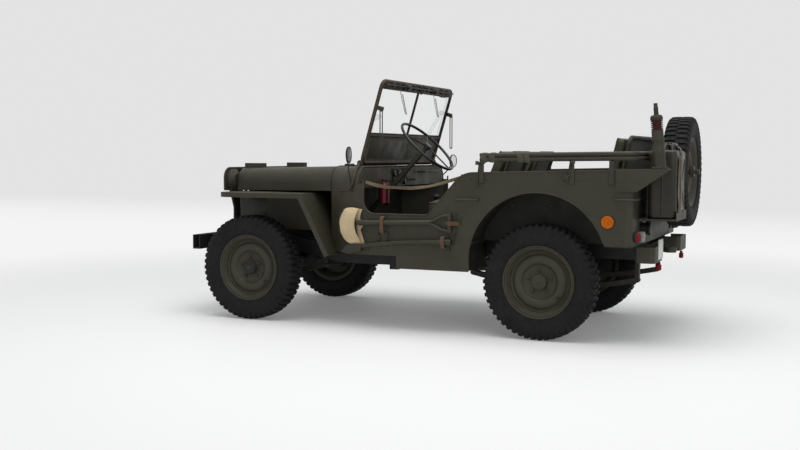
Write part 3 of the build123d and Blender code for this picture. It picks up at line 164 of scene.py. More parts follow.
def pale_floor():
    """White floor that keeps the car's shadow but lightens it with a painted glow near the car, and glows
    evenly far from the car where it is seen.
    """
    tone = bpy.data.materials.new("pale_floor")
    tone.use_nodes = True
    nodes, links = tone.node_tree.nodes, tone.node_tree.links
    nodes["Principled BSDF"].inputs["Base Color"].default_value = FLOOR_TONE
    nodes["Principled BSDF"].inputs["Roughness"].default_value = 0.6
    place = nodes.new("ShaderNodeNewGeometry").outputs["Position"]
    away = nodes.new("ShaderNodeVectorMath")
    away.operation = "LENGTH"
    links.new(place, away.inputs[0])
    far = nodes.new("ShaderNodeMapRange")
    far.interpolation_type = "SMOOTHSTEP"
    far.inputs["From Min"].default_value = GLOW_NEAR
    far.inputs["From Max"].default_value = GLOW_FAR
    # The least share paints light into the car's shadow on the floor
    far.inputs["To Min"].default_value = SHADOW_LIFT_GLOW
    links.new(away.outputs["Value"], far.inputs["Value"])
    seen = background_rays(tone.node_tree)
    share = nodes.new("ShaderNodeMath")
    share.operation = "MULTIPLY"
    links.new(far.outputs["Result"], share.inputs[0])
    links.new(seen, share.inputs[1])
    height = nodes.new("ShaderNodeSeparateXYZ")
    links.new(place, height.inputs[0])
    level = nodes.new("ShaderNodeMapRange")
    level.interpolation_type = "SMOOTHSTEP"
    level.inputs["From Min"].default_value = WALL_NEAR
    level.inputs["From Max"].default_value = WALL_FAR
    level.inputs["To Min"].default_value = FLOOR_GLOW
    level.inputs["To Max"].default_value = WALL_GLOW
    links.new(height.outputs["Y"], level.inputs["Value"])
    glow = nodes.new("ShaderNodeEmission")
    links.new(level.outputs["Result"], glow.inputs["Strength"])
    both = nodes.new("ShaderNodeMixShader")
    links.new(share.outputs[0], both.inputs["Fac"])
    links.new(nodes["Principled BSDF"].outputs["BSDF"], both.inputs[1])
    links.new(glow.outputs["Emission"], both.inputs[2])
    links.new(both.outputs["Shader"], nodes["Material Output"].inputs["Surface"])
    return tone


# Materials
DUST = (0.16, 0.15, 0.125, 1)
TREAD_DUST = (0.03, 0.028, 0.024, 1)
RUBBER_EDGE = (0.03, 0.03, 0.03, 1)
RUST = (0.11, 0.045, 0.018, 1)


class Surface:
    """A material's nodes, with short ways to add and join them."""

    def __init__(self, name):
        self.material = bpy.data.materials.new(name + "_look")
        self.material.use_nodes = True
        self.tree = self.material.node_tree
        self.shader = self.tree.nodes["Principled BSDF"]
        self.place = self.tree.nodes.new("ShaderNodeTexCoord").outputs["Object"]

    def node(self, kind, inputs=None, **settings):
        """Adds a node with its settings and inputs."""
        made = self.tree.nodes.new("ShaderNode" + kind)
        for key, value in settings.items():
            setattr(made, key, value)
        for key, value in (inputs or {}).items():
            self.put(made.inputs[key], value)
        return made

    def put(self, socket, value):
        """Joins a socket to another, or gives it a value."""
        if isinstance(value, bpy.types.NodeSocket):
            self.tree.links.new(value, socket)
        else:
            socket.default_value = value

    def set(self, **inputs):
        """Sets inputs of the shader itself."""
        for key, value in inputs.items():
            self.put(self.shader.inputs[key.replace("_", " ")], value)

    def noise(self, scale, detail=4.0, rough=0.6):
        """Cloudy noise over the piece."""
        inputs = {"Vector": self.place, "Scale": scale, "Detail": detail, "Roughness": rough}
        return self.node("TexNoise", inputs).outputs["Fac"]

    def band(self, value, low, high, out_low=0.0, out_high=1.0):
        """Maps a value's range to another, held at its ends."""
        inputs = {"Value": value, "From Min": low, "From Max": high, "To Min": out_low, "To Max": out_high}
        return self.node("MapRange", inputs).outputs["Result"]

    def math(self, operation, first, second=0.0):
        """Joins two values by an operation."""
        made = self.node("Math", operation=operation)
        self.put(made.inputs[0], first)
        self.put(made.inputs[1], second)
        return made.outputs[0]

    def mix(self, share, first, second):
        """A colour between two others."""
        made = self.node("MixRGB")
        for key, value in (("Fac", share), ("Color1", first), ("Color2", second)):
            self.put(made.inputs[key], value)
        return made.outputs["Color"]

    def facing_up(self):
        """How far the surface faces up."""
        normal = self.node("NewGeometry").outputs["Normal"]
        return self.node("SeparateXYZ", {"Vector": normal}).outputs["Z"]

    def edges(self, radius):
        """How strongly a point lies on a sharp edge, and the normal rounded over that edge."""
        rounded = self.node("Bevel", {"Radius": radius}, samples=6).outputs["Normal"]
        normal = self.node("NewGeometry").outputs["Normal"]
        same = self.node("VectorMath", operation="DOT_PRODUCT")
        self.put(same.inputs[0], rounded)
        self.put(same.inputs[1], normal)
        return self.band(same.outputs["Value"], 0.985, 0.86), rounded

    def bump(self, height, strength, distance, normal=None):
        """A normal that follows a height."""
        inputs = {"Height": height, "Strength": strength, "Distance": distance}
        made = self.node("Bump", inputs)
        if normal:
            self.put(made.inputs["Normal"], normal)
        return made.outputs["Normal"]


def shade(colour, factor):
    """A lighter or darker tone of a colour."""
    return tuple(min(1, part * factor) for part in colour[:3]) + (1,)


def paint(name, colour, roughness=0.52, worn=(0.13, 0.1, 0.07, 1), wear=0.5, dust=0.18):
    """Brushed-on army paint: uneven tone, dull patches, dust on top and wear along the edges."""
    look = Surface(name)
    cloudy = look.noise(3.2, 6)
    tone = look.mix(look.band(cloudy, 0.35, 0.65), shade(colour, 0.8), shade(colour, 1.16))
    fine = look.noise(160, 3)
    tone = look.mix(look.band(fine, 0.3, 0.75, 0, 0.22), tone, shade(colour, 1.5))
    upward = look.band(look.facing_up(), 0.55, 0.98)
    settled = look.math("MULTIPLY", upward, look.band(look.noise(7, 6), 0.35, 0.75))
    tone = look.mix(look.math("MULTIPLY", settled, dust), tone, DUST)
    edge, rounded = look.edges(0.004)
    chipped = look.math("MULTIPLY", edge, look.band(look.noise(38, 5, 0.7), 0.5, 0.62))
    chipped = look.math("MULTIPLY", chipped, wear)
    tone = look.mix(chipped, tone, worn)
    look.set(Base_Color=tone)
    dull = look.band(look.noise(11, 5), 0.3, 0.7, roughness - 0.07, roughness + 0.12)
    look.set(Roughness=dull, Specular_IOR_Level=0.3)
    look.set(Normal=look.bump(look.noise(420, 2), 0.12, 0.0004, rounded))
    return look.material


def rubber(name, colour, dusty):
    """Tyre rubber: dull black, browner where dust stays in the tread and on the walls."""
    look = Surface(name)
    patches = look.band(look.noise(9, 6), 0.42, 0.75, 0, dusty)
    tone = look.mix(patches, colour, TREAD_DUST)
    edge, rounded = look.edges(0.002)
    tone = look.mix(look.math("MULTIPLY", edge, 0.35), tone, RUBBER_EDGE)
    dull = look.band(look.noise(40), 0.3, 0.7, 0.62, 0.82)
    look.set(Base_Color=tone, Roughness=dull, Specular_IOR_Level=0.18)
    look.set(Normal=look.bump(look.noise(700, 3), 0.3, 0.0005, rounded))
    return look.material


def canvas(name, colour, thread=0.0014, soil=0.5):
    """Plain-woven cotton: two crossing sets of threads, faded and soiled in patches."""
    look = Surface(name)
    weave = []
    for direction in ("X", "Y", "Z"):
        wave = look.node("TexWave", {"Vector": look.place, "Scale": 0.32 / thread, "Distortion": 0.6},
                      bands_direction=direction)
        weave.append(wave.outputs["Fac"])
    threads = look.math("MULTIPLY", look.math("ADD", weave[0], weave[1]), look.math("ADD", weave[2], 0.4))
    tone = look.mix(look.band(look.noise(6, 6), 0.3, 0.7), shade(colour, 0.72), shade(colour, 1.2))
    soiled = look.math("MULTIPLY", look.band(look.noise(16, 7, 0.7), 0.5, 0.75), soil)
    tone = look.mix(soiled, tone, shade(colour, 0.42))
    tone = look.mix(look.band(threads, 0.2, 1.6, 0.28, 0), tone, shade(colour, 0.4))
    look.set(Base_Color=tone, Roughness=0.9, Sheen_Weight=0.15, Sheen_Roughness=0.5)
    height = look.math("ADD", look.math("MULTIPLY", threads, 0.4), look.noise(24, 5))
    look.set(Normal=look.bump(height, 0.35, 0.0012))
    return look.material


def bare_metal(name, colour, roughness, rust=0.2):
    """Steel or cast iron with brown rust in patches."""
    look = Surface(name)
    patches = look.math("MULTIPLY", look.band(look.noise(22, 8, 0.7), 0.5, 0.7), rust)
    look.set(Base_Color=look.mix(patches, colour, RUST), Metallic=0.85)
    look.set(Roughness=look.band(look.noise(60), 0.3, 0.7, roughness - 0.08, roughness + 0.12))
    look.set(Normal=look.bump(look.noise(300, 4), 0.15, 0.0004, look.edges(0.002)[1]))
    return look.material


def lens(name, colour, ribs=220):
    """Ribbed coloured plastic of a lamp or reflector."""
    look = Surface(name)
    rings = look.node("TexWave", {"Vector": look.place, "Scale": ribs}, bands_direction="Z").outputs["Fac"]
    cells = look.node("TexVoronoi", {"Vector": look.place, "Scale": ribs}).outputs["Distance"]
    look.set(Base_Color=look.mix(look.band(cells, 0, 0.7), shade(colour, 1.25), shade(colour, 0.75)))
    look.set(Roughness=0.34, Specular_IOR_Level=0.1, Coat_Weight=0.05, Coat_Roughness=0.05)
    look.set(Normal=look.bump(look.math("ADD", rings, cells), 0.4, 0.001))
    return look.material


def glass(name, tint):
    """Clear glass with faint smears."""
    look = Surface(name)
    smear = look.band(look.noise(5, 6), 0.45, 0.8, 0.0, 0.06)
    look.set(Base_Color=tint, Transmission_Weight=1.0, IOR=1.45, Roughness=smear)
    return look.material


OLIVE = (0.031, 0.0285, 0.0175, 1)
PAINT = paint("olive_paint", OLIVE)
PAINT_WORN = paint("worn_olive_paint", shade(OLIVE, 0.9), 0.5, (0.14, 0.06, 0.03, 1), 1.0)
PAINT_DARK = paint("dark_olive_paint", shade(OLIVE, 0.62), 0.36, (0.1, 0.07, 0.05, 1), 0.7, 0.2)
RUSTY = paint("rusty_paint", (0.04, 0.026, 0.017, 1), 0.5, (0.15, 0.05, 0.025, 1), 1.0)
CANVAS_DARK = canvas("dark_canvas", (0.034, 0.035, 0.02, 1))
GREY = paint("lamp_grey", (0.22, 0.22, 0.21, 1), 0.4, (0.1, 0.09, 0.08, 1), 0.6, 0.2)
# Olive darkened to a painted shade: the wheel boxes, the body floor and the flanges between them sit in
# shadow, and this colour paints that shade in
SHADE_DARKENED_OLIVE = paint("shade_darkened_olive_paint", shade(OLIVE, 0.28), 0.6, (0.04, 0.03, 0.02, 1), 0.4, 0.1)
BROWN_RED = rubber("brown_red", (0.06, 0.016, 0.012, 1), 0.3)
BLACK = paint("black_paint", (0.008, 0.008, 0.008, 1), 0.5, (0.05, 0.035, 0.025, 1), 0.5, 0.2)
RUBBER = rubber("tyre_rubber", (0.0065, 0.0066, 0.007, 1), 0.3)
CANVAS = canvas("olive_canvas", (0.06, 0.061, 0.034, 1))
BEIGE = canvas("beige_canvas", (0.60, 0.46, 0.28, 1), soil=0.35)
WEBBING = canvas("webbing", (0.13, 0.095, 0.052, 1), 0.0022, 0.8)
LEATHER = canvas("brown_strap", (0.1, 0.048, 0.022, 1), 0.002)
STEEL = bare_metal("worn_steel", (0.22, 0.21, 0.2, 1), 0.38)
IRON = bare_metal("dark_iron", (0.035, 0.034, 0.032, 1), 0.6, 0.5)
GLASS = glass("clear_glass", (0.97, 0.985, 0.98, 1))
LAMP_GLASS = glass("lamp_glass", (0.9, 0.92, 0.92, 1))
ORANGE = lens("orange_lens", (0.47, 0.105, 0.001, 1))
RED = lens("red_lens", (0.2, 0.008, 0.012, 1))
PLATE = paint("plate_white", (0.62, 0.62, 0.58, 1), 0.4, (0.3, 0.28, 0.25, 1), 0.4, 0.2)
ENAMEL = paint("red_enamel", (0.075, 0.003, 0.008, 1), 0.22, (0.06, 0.03, 0.02, 1), 0.4, 0.1)
BAKELITE = paint("black_grip", (0.01, 0.01, 0.009, 1), 0.3, (0.03, 0.03, 0.028, 1), 0.2, 0.1)
MIRROR = bare_metal("mirror_glass", (0.8, 0.8, 0.8, 1), 0.1, 0)

NODE_LOOKS = {
    "frame": BLACK, "front_bumper": BLACK, "front_axle": BLACK, "rear_axle": BLACK, "radiator": BLACK,
    "knuckle_left": BLACK, "knuckle_right": BLACK, "levers_and_pedals": BLACK, "tail_lamps": BLACK,
    # The wheel boxes and the body floor take olive darkened to a painted shade
    "leaf_springs": IRON, "drivetrain": IRON, "engine": IRON, "exhaust": IRON, "wheel_boxes": SHADE_DARKENED_OLIVE,
    "body_floor": SHADE_DARKENED_OLIVE, "windscreen_fittings": PAINT_WORN, "windscreen_frame": PAINT_WORN,
    "top_bows": PAINT_WORN, "windscreen_glass": GLASS, "steering_wheel": BAKELITE, "reflectors": ORANGE,
    "licence_plate": PLATE, "fire_extinguisher": ENAMEL, "safety_strap": WEBBING, "seat_cushions": CANVAS,
    "passenger_seat_cushions": CANVAS,
}


def dress_solids():
    """Gives every solid its material."""
    for name, solid in NODES.items():
        look = RUBBER if "tyre" in name else NODE_LOOKS.get(name, PAINT)
        solid.data.materials.clear()
        solid.data.materials.append(look)


# Mesh building
WELD = 0.00002
RIVET_DOME = 0.45
UP = (0, 0, 1)
BACKWARD = (-1, 0, 0)


def frame_along(start, direction):
    """Places a shape so that its X points along a direction."""
    axis = Vector(direction).normalized()
    side = Vector((0, 0, 1)).cross(axis) if abs(axis.z) < 0.99 else Vector((0, 1, 0))
    side.normalize()
    turned = Matrix((axis, side, axis.cross(side))).transposed().to_4x4()
    return Matrix.Translation(Vector(start)) @ turned


def spread(low, high, count):
    """Evenly spaced numbers."""
    return [low + (high - low) * index / (count - 1) for index in range(count)]


def ring(count, radius, shift=0.0):
    """Evenly spaced places on a circle, as pairs; shift turns them by a share of a step."""
    turns = [2 * pi * (index + shift) / count for index in range(count)]
    return [(radius * cos(turn), radius * sin(turn)) for turn in turns]


def corners(low, high):
    """The corners of a rectangle between two pairs."""
    return [low, (high[0], low[1]), high, (low[0], high[1])]


def slot_outline(x, low, high, radius):
    """The outline (x, z) of an upright bar or slot with round ends."""
    outline = []
    for middle, first in ((low, pi), (high, 0)):
        for turn in spread(first, first + pi, 9):
            outline.append((x + radius * cos(turn), middle + radius * sin(turn)))
    return outline


def side_plane(y):
    """Stands an outline of (x, z) upright, parallel to the car's side."""
    return Matrix(((1, 0, 0, 0), (0, 0, -1, y), (0, 1, 0, 0), (0, 0, 0, 1)))


def resampled(points, count):
    """A given number of places along a row of points."""
    places = []
    for index in range(count):
        along = index / (count - 1) * (len(points) - 1)
        low = int(min(along, len(points) - 2))
        places.append(Vector(points[low]).lerp(Vector(points[low + 1]), along - low))
    return places


def surface_at(node, start, way):
    """Where a straight line first meets a solid, with the direction its surface faces there."""
    data = NODES[node].data
    faces = [tuple(face.vertices) for face in data.polygons]
    tree = BVHTree.FromPolygons([vert.co for vert in data.vertices], faces)
    spot, facing, _, _ = tree.ray_cast(Vector(start), Vector(way))
    return spot, facing


def rounded(points, radius, steps=6, loop=False):
    """A path whose corners turn in short curves."""
    points = [Vector(point) for point in points]
    path = []
    for index, corner in enumerate(points):
        if not loop and index in (0, len(points) - 1):
            path.append(corner)
            continue
        before, after = points[index - 1] - corner, points[(index + 1) % len(points)] - corner
        reach = min(radius, before.length * 0.49, after.length * 0.49)
        start, end = corner + before.normalized() * reach, corner + after.normalized() * reach
        for step in range(steps + 1):
            share = step / steps
            rest = 1 - share
            path.append(rest ** 2 * start + 2 * share * rest * corner + share * share * end)
    return path


class Kit:
    """Gathers shapes into one mesh, and hands it over as a piece."""

    def __init__(self):
        self.bm = bmesh.new()

    def grid(self, rows, around=False, along=False, caps=False):
        """Joins rows of points with quads, closed across or along the rows."""
        made = [[self.bm.verts.new(point) for point in row] for row in rows]
        count = len(made[0])
        for index in range(len(made) if along else len(made) - 1):
            low, high = made[index], made[(index + 1) % len(made)]
            for side in range(count if around else count - 1):
                after = (side + 1) % count
                self.bm.faces.new((low[side], low[after], high[after], high[side]))
        if caps:
            self.bm.faces.new(made[0][::-1])
            self.bm.faces.new(made[-1])

    def tube(self, path, radius, sides=12, loop=False, flat=1.0):
        """A round bar along a path; flat squeezes it across."""
        path = [Vector(point) for point in path]
        radii = radius if isinstance(radius, (list, tuple)) else [radius] * len(path)
        normal, rows = None, []
        for index, point in enumerate(path):
            before = path[index - 1] if index or loop else point
            after = path[(index + 1) % len(path)] if index < len(path) - 1 or loop else point
            tangent = (after - before).normalized()
            normal = normal or tangent.orthogonal()
            normal = (normal - tangent * normal.dot(tangent)).normalized()
            across = tangent.cross(normal)
            size = radii[index]
            circle = ring(sides, 1.0)
            rows.append([point + size * (wide * normal + flat * high * across) for wide, high in circle])
        self.grid(rows, around=True, along=loop, caps=not loop)

    def lathe(self, profile, place=Matrix(), sides=48, closed=False):
        """Turns an outline of (along, radius) about the place's X axis."""
        rows = []
        for wide, high in ring(sides, 1.0):
            rows.append([place @ Vector((x, r * wide, r * high)) for x, r in profile])
        self.grid(rows, around=closed, along=True)

    def knob(self, at, direction, radius, height, sides=12, dome=0.75):
        """A bolt head (six sides), rivet, knob or cap."""
        profile = [(0, radius), (height * dome, radius), (height * 0.94, radius * 0.72), (height, 0)]
        self.lathe([(0, 0)] + profile, frame_along(at, direction), sides)

    def rod(self, start, end, radius, sides=20, edge=0.002):
        """A straight bar with softened ends."""
        length = (Vector(end) - Vector(start)).length
        edge = min(edge, radius * 0.5, length * 0.3)
        profile = [(0, 0), (0, radius - edge), (edge, radius), (length - edge, radius)]
        profile += [(length, radius - edge), (length, 0)]
        self.lathe(profile, frame_along(start, Vector(end) - Vector(start)), sides)

    def box(self, low, high, edge=0.002, place=Matrix(), steps=2):
        """A block with softened edges."""
        low, high = Vector(low), Vector(high)
        size = Matrix.Diagonal((high - low).to_4d())
        size[3][3] = 1
        stand = place @ Matrix.Translation((low + high) / 2) @ size
        made = bmesh.ops.create_cube(self.bm, size=1, matrix=stand)
        edges = list({edge for vert in made["verts"] for edge in vert.link_edges})
        limit = min(edge, min(high - low) * 0.45)
        bmesh.ops.bevel(self.bm, geom=edges, offset=limit, segments=steps, affect="EDGES", profile=0.5)

    def plate(self, outline, low, high, place=Matrix(), edge=0.0015):
        """A sheet cut to an outline of (x, y), between two heights along the place's Z."""
        rows = [[place @ Vector((x, y, level)) for x, y in outline] for level in (low, high)]
        before = set(self.bm.faces)
        self.grid(rows, around=True, caps=True)
        if edge:
            caps = [face for face in set(self.bm.faces) - before if len(face.verts) == len(outline)]
            edges = list({side for face in caps for side in face.edges})
            bmesh.ops.bevel(self.bm, geom=edges, offset=edge, segments=2, affect="EDGES", profile=0.5)

    def strap(self, path, width, thick, across):
        """A flat strap along a path; across points over its width, one for all or one for each point."""
        path = [Vector(point) for point in path]
        wide = across if isinstance(across, list) else [across] * len(path)
        rows = []
        for index, point in enumerate(path):
            tangent = path[min(index + 1, len(path) - 1)] - path[max(index - 1, 0)]
            over = Vector(wide[index]).normalized() * width / 2
            out = tangent.cross(over).normalized() * thick / 2
            rim = over * (1 - thick / width)
            rows.append([point + rim + out, point + over, point + rim - out,
                         point - rim - out, point - over, point - rim + out])
        self.grid(rows, around=True, caps=True)

    def mesh(self, name, weld=True):
        """Hands the shapes over as one mesh, with points that meet joined."""
        if weld:
            bmesh.ops.remove_doubles(self.bm, verts=self.bm.verts, dist=WELD)
        bmesh.ops.recalc_face_normals(self.bm, faces=self.bm.faces)
        mesh = bpy.data.meshes.new(name)
        self.bm.to_mesh(mesh)
        self.bm.free()
        return mesh

    def piece(self, name, look, body="root", replaces=(), sharp=35):
        """Hands the shapes over as one piece of the scene."""
        return as_piece(name, self.mesh(name), look, body, replaces, sharp)


def as_piece(name, mesh, look, body="root", replaces=(), sharp=35):
    """Puts a mesh in the scene on its body, with its material."""
    mesh.polygons.foreach_set("use_smooth", [True] * len(mesh.polygons))
    mesh.set_sharp_from_angle(angle=radians(sharp))
    mesh.materials.clear()
    mesh.materials.append(look)
    made = bpy.data.objects.new(name, mesh)
    bpy.context.scene.collection.objects.link(made)
    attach(made, body)
    if replaces:
        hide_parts(*replaces)
    return made


def smooth(piece, levels):
    """Rounds a fabric piece by subdividing it."""
    rounding = piece.modifiers.new("smooth", "SUBSURF")
    rounding.levels = levels
    rounding.render_levels = levels


# Wheels
TYRE_HALF = [
    # along the axle, radius
    (0.058, 0.2045), (0.0585, 0.224), (0.0665, 0.232), (0.074, 0.248), (0.079, 0.270), (0.080, 0.290),
    (0.078, 0.310), (0.0735, 0.326), (0.066, 0.338), (0.055, 0.3425), (0.03, 0.3435), (0, 0.344),
]
LUG_STATIONS = [
    # foot along the axle, foot radius, top along the axle, top radius
    (0.002, 0.343, 0.006, 0.3535), (0.030, 0.3425, 0.030, 0.354), (0.056, 0.341, 0.060, 0.352),
    (0.066, 0.335, 0.0725, 0.3435), (0.0735, 0.322, 0.079, 0.328), (0.0765, 0.310, 0.0785, 0.311),
]
LUGS = 52
TYRE_SIDES = 104
WHEEL_SIDES = 96
WALL_RINGS = [
    # radius, along the axle
    (0.300, 0.0796), (0.240, 0.0708),
]
HUB_BOLTS = 6
WHEEL_NUTS = 5
VALVE_Y = 0.118
VALVE_Z = -0.090
LUG_WIDTH = (0.027, 0.021)
RIM = [
    (0.0645, 0.2235), (0.0630, 0.2185), (0.0590, 0.2135), (0.055, 0.2085), (0.050, 0.2045), (0.040, 0.199),
    (0.030, 0.187), (0.025, 0.179),
]
DISC = [
    (0.0215, 0.1735), (0.0215, 0.1715), (0.027, 0.166), (0.034, 0.158), (0.039, 0.147), (0.041, 0.133),
    (0.039, 0.121), (0.033, 0.112), (0.025, 0.107), (0.0205, 0.102), (0.019, 0.096), (0.019, 0.055),
]
HUB = [(0.021, 0.052), (0.043, 0.048), (0.047, 0.046), (0.049, 0.040), (0.0525, 0.032), (0.0525, 0)]
HUB_CAP = [(0.044, 0.0495), (0.050, 0.0485), (0.0535, 0.044), (0.0562, 0.030), (0.0562, 0)]
DRUM_BACK = [(-0.046, 0), (-0.046, 0.125), (0.010, 0.125), (0.010, 0.165), (0.012, 0.170)]
BARREL_BACK = [
    (-0.024, 0.175), (-0.0585, 0.198), (-0.0645, 0.2175), (-0.0645, 0.2235), (-0.0585, 0.2235),
    (-0.0585, 0.204), (-0.024, 0.181), (0.024, 0.181), (0.0585, 0.204), (0.0585, 0.2235),
]


def tyre_mesh():
    """A cross-ply tyre: two staggered rows of bar lugs that run down over the shoulders."""
    kit = Kit()
    profile = TYRE_HALF + [(-x, r) for x, r in reversed(TYRE_HALF[:-1])]
    kit.lathe(profile, sides=TYRE_SIDES, closed=True)
    for radius, along in WALL_RINGS:
        for side in (1, -1):
            kit.tube([(side * along, y, z) for y, z in ring(TYRE_SIDES, radius)], 0.0016, 5, loop=True)
    for side in (1, -1):
        for index in range(LUGS):
            turn = 2 * pi * (index + 0.25 * side) / LUGS
            rows = []
            for foot_x, foot_r, top_x, top_r in LUG_STATIONS:
                foot, top = LUG_WIDTH[0] / 2 / foot_r, LUG_WIDTH[1] / 2 / top_r
                section = [(foot_x, foot_r, -foot), (top_x, top_r, -top)]
                section += [(top_x, top_r, top), (foot_x, foot_r, foot)]
                rows.append([(side * x, r * cos(turn + a), r * sin(turn + a)) for x, r, a in section])
            kit.grid(rows, caps=True)
    return kit.mesh("tyre", weld=False)


def wheel_mesh(name, spare):
    """A pressed disc wheel with its ring groove, nuts, hub and drum; the spare has a plain hole."""
    kit = Kit()
    if spare:
        middle = [(0.019, 0.054), (0.0165, 0.052), (0.013, 0.054), (0.013, 0.100), (0.012, 0.170)]
        kit.lathe(RIM + DISC + middle + BARREL_BACK, sides=WHEEL_SIDES, closed=True)
    else:
        kit.lathe(RIM + DISC + HUB + DRUM_BACK + BARREL_BACK, sides=WHEEL_SIDES, closed=True)
        for y, z in ring(HUB_BOLTS, 0.036):
            kit.knob((0.049, y, z), (1, 0, 0), 0.0065, 0.006, 6)
        kit.knob((0.0515, 0, 0), (1, 0, 0), 0.014, 0.006, 16)
    for y, z in ring(WHEEL_NUTS, 0.074, 0.3):
        at = Vector((0.018, y, z))
        kit.knob(at, (1, 0, 0), 0.013, 0.004, 16)
        if not spare:
            kit.knob(at + Vector((0.003, 0, 0)), (1, 0, 0), 0.0105, 0.014, 6)
            kit.knob(at + Vector((0.014, 0, 0)), (1, 0, 0), 0.005, 0.009, 10)
    return kit.mesh(name)


def wheels():
    """Five tyres on five wheels, the spare on its post."""
    tyre, wheel, spare = tyre_mesh(), wheel_mesh("wheel", False), wheel_mesh("spare_rim", True)
    for end, x in (("front", FRONT_AXLE_X), ("rear", REAR_AXLE_X)):
        for side, turn in (("left", 1), ("right", -1)):
            place = Matrix.Translation((x, turn * WHEEL_Y, AXLE_Z)) @ Matrix.Rotation(turn * pi / 2, 4, "Z")
            corner = f"{end}_{side}"
            put_wheel(f"{corner}_tyre", tyre, RUBBER, place, f"wheel_{corner}", f"tyre_{corner}")
            put_wheel(f"{corner}_wheel", wheel, PAINT, place, f"wheel_{corner}", f"wheel_{corner}")
            valve = Kit()
            hole = place @ Matrix.Translation((0, VALVE_Y, VALVE_Z))
            valve.lathe([(0.0395, 0), (0.0395, 0.009), (0.042, 0.009), (0.042, 0)], hole, 16)
            valve.tube([place @ Vector((along, VALVE_Y, VALVE_Z)) for along in (0.041, 0.050)], 0.0038, 8)
            if end == "front":
                valve.lathe(HUB_CAP, place, 32)
                for y, z in ring(HUB_BOLTS, 0.039):
                    valve.knob(place @ Vector((0.052, y, z)), (0, turn, 0), 0.0068, 0.007, 6)
            valve.piece(f"{corner}_valve_and_cap", BLACK, f"wheel_{corner}")
    place = Matrix.Translation(SPARE) @ Matrix.Rotation(pi, 4, "Z")
    put_wheel("spare_tyre_lugged", tyre, RUBBER, place, "root", "spare_tyre")
    put_wheel("spare_disc", spare, PAINT, place, "root", "spare_wheel")


def put_wheel(name, mesh, look, place, body, node):
    """Stands a copy of a mesh in its place on a wheel's body."""
    made = as_piece(name, mesh.copy(), look, "root", (), 28)
    made.matrix_world = place
    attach(made, body)
    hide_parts(node)


# Seats
CUSHION_CUTS = 13
CUSHION_SWELL = 0.014
CUSHION_PULL = 0.010
CLOTH_STEPS = 20
SHEET_GAP = 0.012
SHEET_SAG = 0.006
SHEET_LESS_LONG = 0.02
SHEET_LESS_WIDE = 0.05
SEAT_X, SEAT_Z = -0.267, 0.734
SEAT_Y = 0.305
BACK_X, BACK_Z = -0.5575, 0.9879
AHEAD = (1, 0, 0)
SEAT_BACK_UP = (-0.4123, 0, 0.9110)
BENCH_BACK_UP = (-0.2436, 0, 0.9698)
SEATS = [
    # name, body, middle (x, y, z) of the underside, direction up the pad, length, width, thickness
    ("driver_seat_pad", "root", (SEAT_X, SEAT_Y, SEAT_Z), AHEAD, 0.418, 0.400, 0.074),
    ("driver_back_pad", "root", (BACK_X, SEAT_Y, BACK_Z), SEAT_BACK_UP, 0.327, 0.400, 0.060),
    ("passenger_seat_pad", "passenger_seat", (SEAT_X, -SEAT_Y, SEAT_Z), AHEAD, 0.418, 0.400, 0.074),
    ("passenger_back_pad", "passenger_seat", (BACK_X, -SEAT_Y, BACK_Z), SEAT_BACK_UP, 0.327, 0.400, 0.060),
    ("bench_seat_pad", "root", (-1.064, 0, 0.775), AHEAD, 0.368, 0.910, 0.074),
    ("bench_back_pad", "root", (-1.306, 0, 1.0549), BENCH_BACK_UP, 0.361, 0.910, 0.060),
]


def swollen(mesh, cap):
    """Blows a pad up as cloth over its filling, and returns where its points go."""
    pad = bpy.data.objects.new("pad_in_the_making", mesh)
    scene = bpy.context.scene
    scene.collection.objects.link(pad)
    settings = pad.modifiers.new("cloth", "CLOTH").settings
    settings.quality = 4
    settings.use_pressure = True
    settings.uniform_pressure_force = 4
    settings.effector_weights.gravity = 0
    for step in range(1, CLOTH_STEPS + 1):
        scene.frame_set(step)
    after = pad.evaluated_get(bpy.context.evaluated_depsgraph_get()).to_mesh()
    start = np.array([vert.co for vert in mesh.vertices])
    moved = np.array([vert.co for vert in after.vertices]) - start
    scene.frame_set(1)
    bpy.data.objects.remove(pad)
    reach = np.linalg.norm(moved, axis=1, keepdims=True)
    return start + moved * np.minimum(1, cap / np.maximum(reach, 1e-9))


def cushion(name, body, foot, along, length, width, thick):
    """A crowned pad of canvas over filling, with a piped seam round its upper and lower edges."""
    bm = bmesh.new()
    bmesh.ops.create_cube(bm, size=2)
    bmesh.ops.subdivide_edges(bm, edges=bm.edges[:], cuts=CUSHION_CUTS, use_grid_fill=True)
    inset = CUSHION_SWELL * 0.6
    half = Vector((length / 2 - inset, width / 2 - inset, thick / 2 - inset * 0.4))
    edge = thick * 0.24
    seams = {1: [], -1: []}
    for vert in bm.verts:
        unit = vert.co.copy()
        for side in seams:
            if unit.z * side > 0.999 and max(abs(unit.x), abs(unit.y)) > 0.999:
                seams[side].append((atan2(unit.y, unit.x), vert.index))
        spot = Vector([unit[axis] * half[axis] for axis in range(3)])
        core = Vector([max(-half[axis] + edge, min(half[axis] - edge, spot[axis])) for axis in range(3)])
        out = spot - core
        vert.co = core + out.normalized() * min(edge, max(abs(part) for part in out)) if out.length else spot
        pull = CUSHION_PULL * (1 - abs(unit.z)) * max(0, 1 - unit.x ** 2 * unit.y ** 2)
        vert.co.xy *= 1 - pull
    mesh = bpy.data.meshes.new(name)
    bm.to_mesh(mesh)
    bm.free()
    for vert, spot in zip(mesh.vertices, swollen(mesh, CUSHION_SWELL)):
        vert.co = spot
    low = min(vert.co.z for vert in mesh.vertices)
    up = Vector(along)
    across = Vector((0, -1 if up.z else 1, 0))
    turned = Matrix((up, across, up.cross(across))).transposed()
    place = Matrix.Translation(foot) @ turned.to_4x4() @ Matrix.Translation((0, 0, -low))
    mesh.transform(place)
    pad = as_piece(name, mesh, CANVAS, body, (), 60)
    smooth(pad, 1)
    piping = Kit()
    for ring in seams.values():
        path = [mesh.vertices[index].co.copy() for _, index in sorted(ring)]
        piping.tube(path, 0.0042, 8, loop=True)
    piping.piece(name + "_piping", CANVAS_DARK, body)
    return pad


